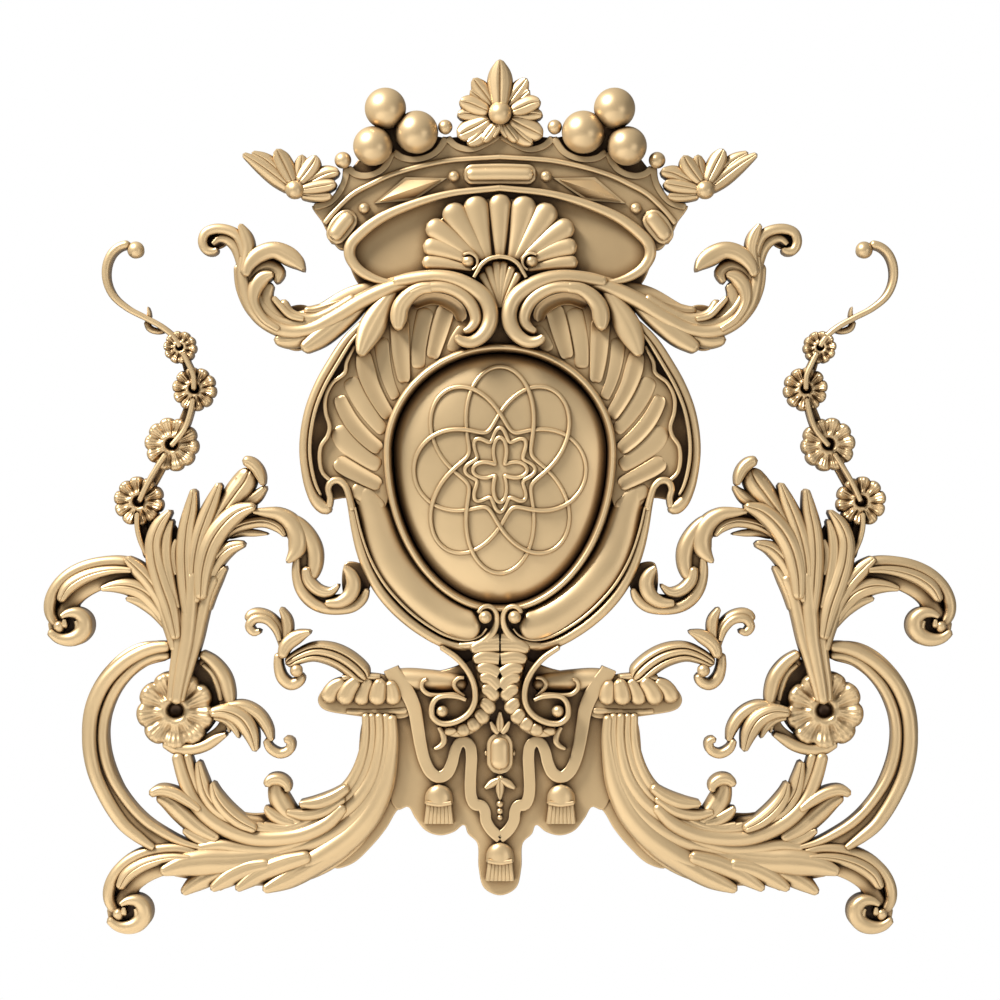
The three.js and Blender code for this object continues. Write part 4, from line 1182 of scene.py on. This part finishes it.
PLUME_STROKES = {
    "trunk core": ("round", LEAF, [
        (176, 702, 6), (183, 662, 10), (188, 626, 16), (188, 592, 19), (194, 560, 14), (200, 530, 6),
    ], {"bulge": 0.4}),
    "trunk left": ("round", FRAME_BAND, [
        (172, 702, 4), (174, 680, 5), (177, 660, 5.6), (179, 640, 6.4), (178, 620, 7), (172, 600, 7),
        (160, 578, 6),
    ]),
    "trunk middle": ("round", TRUNK, [
        (177, 704, 5), (180, 684, 6), (184, 662, 7), (188, 640, 8), (190, 618, 9), (192, 596, 8),
        (194, 570, 7),
    ]),
    "trunk right": ("round", FRAME_BAND, [
        (181, 702, 4), (185, 684, 5), (191, 662, 5.6), (197, 640, 6.4), (202, 616, 7), (208, 592, 7),
        (216, 574, 6),
    ]),
    "lower side leaf": ("vein", SHELL, [
        (168, 622, 6), (158, 605, 10), (145, 592, 10.4), (130, 586, 10), (115, 586, 6.4), (101, 589, 2),
    ]),
    "lower side leaf lip": ("leaf", LEAF, [
        (170, 628, 5), (156, 612, 6), (142, 602, 6), (126, 598, 2),
    ]),
    "long side leaf": ("vein", FRAME_BAND, [
        (177, 652, 5), (172, 625, 9), (163, 601, 9.2), (150, 581, 8.8), (138, 568, 8), (126, 557, 3),
    ]),
    "left upright leaf": ("vein", TRUNK, [
        (178, 640, 5), (171, 608, 10), (162, 582, 10.4), (156, 560, 9.4), (155, 540, 8.4),
        (161, 524, 7), (172, 510, 2),
    ]),
    "left upright lip": ("leaf", FRAME_BAND, [
        (179, 610, 4), (171, 580, 6), (167, 556, 6.4), (168, 536, 5.6), (173, 519, 2),
    ]),
    "small upright leaf": ("leaf", SHELL, [(178, 576, 3), (174, 562, 5), (174, 550, 4.6), (178, 538, 1.6)]),
    "middle upright leaf": ("vein", TRUNK, [
        (190, 620, 6), (187, 580, 9.4), (186, 552, 9.4), (188, 528, 8.8), (192, 508, 7), (195, 488.6, 3),
    ]),
    "right upright leaf": ("vein", TRUNK, [
        (196, 604, 6), (195, 568, 9.4), (199, 542, 10), (206, 520, 9.4), (214, 500, 7), (221, 482.6, 3),
    ]),
    "big right leaf": ("vein", CURL, [
        (202, 600, 6), (204, 570, 10), (211, 545, 11.4), (223, 526, 11), (239, 512, 9), (257, 505.6, 3.4),
    ]),
    "second right leaf": ("vein", FRAME_BAND, [
        (204, 606, 6), (208, 578, 9.2), (217, 560, 9.2), (230, 548, 7.6), (246, 543.4, 3),
    ]),
    "third right leaf": ("leaf", SHELL, [
        (206, 612, 5), (211, 593, 6.6), (218, 578, 6), (227, 566, 2),
    ]),
    "curled top leaf": ("vein", FRAME_BAND, [
        (212, 528, 6), (224, 511, 10), (236, 494, 12.4), (246, 480, 12), (251, 468, 8),
    ]),
    "curled top tip": ("leaf", CURL, [
        (243, 460.6, 4.4), (250, 462, 6), (257, 467.6, 6), (261.6, 476, 5), (264, 486, 2),
    ]),
    "slender leaf": ("leaf", SHELL, [(228, 508, 3), (234, 492, 5), (239, 476, 1.6)]),
    "right of top leaf": ("leaf", LEAF, [
        (232, 516, 4), (246, 504, 7), (257, 496, 6.4), (267, 486, 2),
    ]),
}


def plumes():
    """Plumes of leaves that stand on the ring flowers."""
    carve_piece("plumes", PLUME_STROKES)


BRANCH_STROKES = {
    "core": ("round", UNDER, [
        (226, 534, 4), (254, 518, 7), (284, 522, 9), (303, 544, 11), (303, 570, 10), (308, 590, 9),
        (328, 602, 8), (350, 600, 7),
    ], {"bulge": 0.3}),
    "inner leaf": ("vein", RIM, [
        (222, 540, 3), (236, 528, 5.6), (250, 523, 6), (266, 522, 6), (279, 528, 5), (286, 537, 1.4),
    ]),
    "small inner leaf": ("round", RING, [(228, 537, 3), (242, 533, 4), (256, 533, 3.6), (269, 534, 1)]),
    "first reed": ("round", SHELL, [
        (252, 511, 2), (264, 512, 4.6), (279, 514, 7), (291, 522, 9), (298, 536, 10),
        (297, 550, 9), (287, 563, 1.6),
    ]),
    "second reed": ("round", LEAF, [
        (284, 515, 3), (297, 522, 6), (308, 535, 8), (314.6, 550, 8.6), (315, 566, 7.6),
        (310, 580, 5.6),
    ]),
    "lower stem outer": ("round", LEAF, [
        (297, 556, 3), (297, 572, 5), (301, 588, 6), (310, 600, 6.4), (322, 607, 6),
        (340, 609, 5.6), (354, 606, 5.6), (363, 598, 5), (368, 588, 2),
    ]),
    "light leaf": ("leaf", SHELL, [
        (306, 566, 4), (309, 580, 6), (319, 590, 6), (330, 592, 5), (340, 584, 1.4),
    ]),
    "right curl": ("round", FRAME_BAND, [
        (325, 603, 3), (340, 602, 6), (350, 595, 7.6), (354, 584, 7.6), (351, 574, 6), (344, 566, 2),
    ]),
}


def branches():
    """Branches that curl from the plumes down to the cartouche."""
    carve_piece("branches", BRANCH_STROKES)


RING_STROKES = {
    "hoop core": ("round", RING, [
        (172, 650, 9), (140, 656, 12.4), (113, 679, 13), (98, 710, 13.4), (97, 750, 13.4),
        (112, 792, 13), (137, 826, 12), (166, 843, 8), (196, 847, 5),
    ], {"bulge": 0.3}),
    "far ring core": ("round", UNDER, [
        (200, 657, 6), (218, 674, 8), (226, 700, 7), (224, 724, 5), (208, 741, 7), (186, 748, 7),
        (164, 742, 4),
    ], {"bulge": 0.3}),
    "hoop outer reed": ("round", SHELL, [
        (172, 646, 5), (155, 647.6, 6.4), (142, 652, 6.8), (128, 660, 7), (116, 670, 7.2),
        (105.6, 682, 7.4), (98, 696, 7.4), (92.6, 712, 7.4), (90.4, 730, 7.4), (91, 750, 7.4),
        (95.6, 772, 7.2), (104.6, 793, 7), (115, 811, 7), (125.6, 825, 6.6), (140, 837, 5.6),
        (156, 848, 3),
    ]),
    "hoop inner reed": ("round", LEAF, [
        (172, 655, 4), (156, 656, 4.8), (142, 662, 5), (128, 674, 5.2), (118, 686, 5.4),
        (110.6, 700, 5.4), (105, 718, 5.4), (103.6, 740, 5.4), (106.6, 760, 5.4), (113, 778, 5.2),
        (124, 796, 5), (136, 811, 5), (149, 823, 5), (165, 833, 4.6), (184, 842, 3.6),
        (206, 848, 2),
    ]),
    "far ring top": ("round", LEAF, [
        (200, 652, 4), (214, 662, 6), (225, 677, 7), (229.6, 694, 6.4), (231, 706, 4),
    ]),
    "far ring inner": ("round", RING, [
        (202, 663, 3), (213, 673, 3.8), (219, 687, 4), (222, 702, 3),
    ]),
    "far ring foot": ("round", LEAF, [
        (228, 733, 2), (218, 738, 5), (206, 745, 6), (192, 749, 6), (178, 749, 6), (163, 743, 3),
    ]),
    "thin leaf": ("round", LEAF, [(213, 715, 1.6), (222, 716, 2.6), (228, 722, 2.6), (230, 733, 1)]),
    "small leaf": ("leaf", SHELL, [(213, 716, 3), (226, 718, 5.6), (235, 726, 5), (240, 738, 1)]),
    "big leaf": ("vein", TRUNK, [
        (210, 712, 4), (227, 711, 8), (242, 718, 9.6), (251, 731, 8.6), (257, 751, 1),
    ]),
    "long leaf": ("leaf", SHELL, [
        (222, 708, 4), (242, 706, 6.4), (258, 714, 6.6), (268, 728, 5.6), (272, 742, 2.4),
    ]),
    "leaf curl": ("round", FRAME_BAND, [
        (266, 738, 3), (271, 748, 4.4), (281, 753, 4.8), (290, 749, 4.8), (291, 741, 4.4),
        (284, 738, 2.4),
    ]),
}


def ring_scrolls():
    """Ring scrolls: hoops of two reeds, the flower in the middle and its leaf."""
    carve_piece("ring_scrolls", RING_STROKES)
    blooms = Carving("ring_flowers")
    flower(blooms, 176, 710, 39.5, SHELL, petals=9, turn=0.2)
    blooms.mirrored().finish(COPPER)


SMALL_SCROLL_STROKES = {
    "hook back": ("round", LEAF, [
        (285, 658, 4), (284, 642, 6), (277, 626, 6.6), (265, 616, 6.6), (253, 615, 6.4),
        (247.6, 622, 4.6),
    ]),
    "hook roll": ("round", FRAME_BAND, [
        (281, 642, 2), (276, 628, 3.6), (266, 619, 4.6), (255, 619, 4.6), (250, 626, 4.4),
        (255, 632, 4), (262, 630, 2.2),
    ]),
    "tip leaf": ("leaf", SHELL, [(286, 644, 4), (288, 630, 5.8), (287, 619, 5.4), (281, 607, 2)]),
    "big leaf": ("leaf", TRUNK, [(282, 658, 4), (287, 645, 7), (298, 636.4, 7), (312, 631, 1.6)]),
    "foot curl": ("round", LEAF, [
        (279, 652, 4), (279, 666, 5), (283, 678, 6), (291, 684, 6), (299, 681, 5.6), (303, 673, 3.6),
    ]),
    "tube": ("reeds", SHELL, [
        (286, 664, 6), (300, 656, 8), (314, 651.6, 10), (328, 653, 11.4), (341, 658, 12),
        (354, 667, 12), (367, 680, 11),
    ], {"count": 3}),
}


def small_scrolls():
    """Small scrolls between the caps and the plumes."""
    carving = Carving("small_scrolls")
    carve_all(carving, SMALL_SCROLL_STROKES)
    ball(carving, 297, 670, 6.5, FRAME_BAND)
    carving.mirrored().finish(COPPER)


GARLAND_STROKES = {
    "stem": ("round", LEAF, [
        (131, 244, 4), (120, 247, 4), (112, 254, 4), (107, 266, 4), (107, 281, 3.8),
        (113.6, 296, 3.6), (128, 308.6, 3.2), (146, 318, 3), (162, 327, 3), (174, 337, 2.8),
        (181, 348, 2.6),
    ], {"fall": (1, 0.8)}),
    "spike": ("round", UNDER, [(149, 318, 2.4), (149, 312, 1.6), (148, 306.5, 0.6)]),
    "loop": ("round", TWIG, [(145, 320, 2.4), (149, 328, 3.6), (158, 331, 3), (166, 330, 2)]),
    "twig 1": ("round", LEAF, [(183, 352, 2.4), (189, 364, 2.6), (194, 376, 2.6), (194.6, 391, 2.4)]),
    "twig 2": ("round", LEAF, [(194, 398, 2.4), (191, 413, 2.6), (184.7, 430, 2.6), (171, 447, 2.4)]),
    "twig 3": ("round", LEAF, [(167, 453, 2.4), (156, 470, 2.6), (148, 484, 2.6), (139.5, 502.5, 2.4)]),
    "twig 4": ("round", LEAF, [(138, 512, 2.4), (138, 527, 2.6), (141, 540, 2.6), (150, 560, 2.4)]),
    "back 1": ("flat", WEB, [(184, 356, 5), (192, 385, 5)]),
    "back 2": ("flat", WEB, [(192, 400, 6), (176, 440, 6)]),
    "back 3": ("flat", WEB, [(166, 455, 6), (144, 495, 6)]),
    "back 4": ("flat", WEB, [(138, 515, 6), (150, 560, 7)]),
}

GARLAND_FLOWERS = [
    (180, 347.4, 16.6, 0.1), (194.3, 389, 22.2, 0.16), (171.6, 444.5, 27.2, 0.1),
    (138.8, 501.5, 25.2, 0.2),
]


def garlands():
    """Garlands of four flowers strung on a curled stem."""
    carving = Carving("garland_stems")
    carve_all(carving, GARLAND_STROKES)
    ball(carving, 136.5, 250.5, 8.6, SHELL)
    carving.mirrored().finish(COPPER)
    blooms = Carving("garland_flowers")
    for x, y, radius, turn in GARLAND_FLOWERS:
        flower(blooms, x, y, radius, FLOWER, turn=turn)
    blooms.mirrored().finish(COPPER)


for build in (
    grounds, webs, crown, palmettes, top_shell, top_volutes, upper_arms, cartouche, oval,
    interlace, neck, lambrequin, side_caps, lower_scrolls, rolled_arms, plumes, branches,
    ring_scrolls, small_scrolls, garlands,
):
    build()


# Floor, light and camera


def stage_floor():
    """A pale round floor below the crest, out of the front view."""
    gap = 0.045
    level = LOW.z - gap
    angle = np.linspace(0, 2 * np.pi, 96, endpoint=False)
    radius = 0.5
    forward = 0.42
    rim = np.stack([radius * np.cos(angle), radius * np.sin(angle) - forward, 0 * angle + level], 1)
    data = bpy.data.meshes.new("floor")
    data.from_pydata(rim.tolist(), [], [list(range(len(rim)))])
    floor = bpy.data.objects.new("floor", data)
    bpy.context.scene.collection.objects.link(floor)
    pale = bpy.data.materials.new("pale_floor")
    pale.use_nodes = True
    shader = pale.node_tree.nodes["Principled BSDF"]
    shader.inputs["Base Color"].default_value = (0.82, 0.81, 0.79, 1)
    shader.inputs["Roughness"].default_value = 0.8
    data.materials.append(pale)


def area_light(name, place_at, size, power):
    """A square soft light that looks at the crest's middle."""
    middle = Vector((0, 0, -0.01))
    lamp = bpy.data.lights.new(name, "AREA")
    lamp.shape = "SQUARE"
    lamp.size = size
    lamp.energy = power
    holder = bpy.data.objects.new(name, lamp)
    holder.location = place_at
    direction = middle - Vector(place_at)
    holder.rotation_mode = "QUATERNION"
    holder.rotation_quaternion = direction.to_track_quat("-Z", "Y")
    bpy.context.scene.collection.objects.link(holder)


def studio():
    """Key light from the upper left, a weak fill from the right and a white surround that
    the camera sees at full strength and the metal at a lower one."""
    area_light("key", (-0.6, -0.42, 0.8), 0.3, 29)
    area_light("fill", (0.8, -0.9, -0.1), 0.6, 2)
    world = bpy.data.worlds.new("studio")
    bpy.context.scene.world = world
    world.use_nodes = True
    nodes, links = world.node_tree.nodes, world.node_tree.links
    nodes.clear()
    out = nodes.new("ShaderNodeOutputWorld")
    mix = nodes.new("ShaderNodeMixShader")
    path = nodes.new("ShaderNodeLightPath")
    seen = nodes.new("ShaderNodeBackground")
    seen.inputs["Color"].default_value = (1, 1, 1, 1)
    felt = nodes.new("ShaderNodeBackground")
    felt.inputs["Color"].default_value = (1, 0.98, 0.95, 1)
    felt.inputs["Strength"].default_value = 0.24
    links.new(path.outputs["Is Camera Ray"], mix.inputs["Fac"])
    links.new(felt.outputs["Background"], mix.inputs[1])
    links.new(seen.outputs["Background"], mix.inputs[2])
    links.new(mix.outputs["Shader"], out.inputs["Surface"])


def photograph_camera():
    """A long lens straight in front: the picture's 1000 grid units fill the frame."""
    lens = 150
    sensor = 36
    frame_size = 1000
    mean_relief = 6 * MM
    data = bpy.data.cameras.new("camera")
    data.lens = lens
    data.sensor_width = sensor
    data.clip_start = 0.05
    data.clip_end = 20
    camera = bpy.data.objects.new("camera", data)
    distance = frame_size * UNIT * lens / sensor
    camera.location = (0, -distance - mean_relief, (MOUNT_LEVEL - frame_size / 2) * UNIT)
    camera.rotation_euler = (math.pi / 2, 0, 0)
    bpy.context.scene.collection.objects.link(camera)
    bpy.context.scene.camera = camera


stage_floor()
studio()
photograph_camera()
bpy.context.scene.view_settings.view_transform = "Standard"
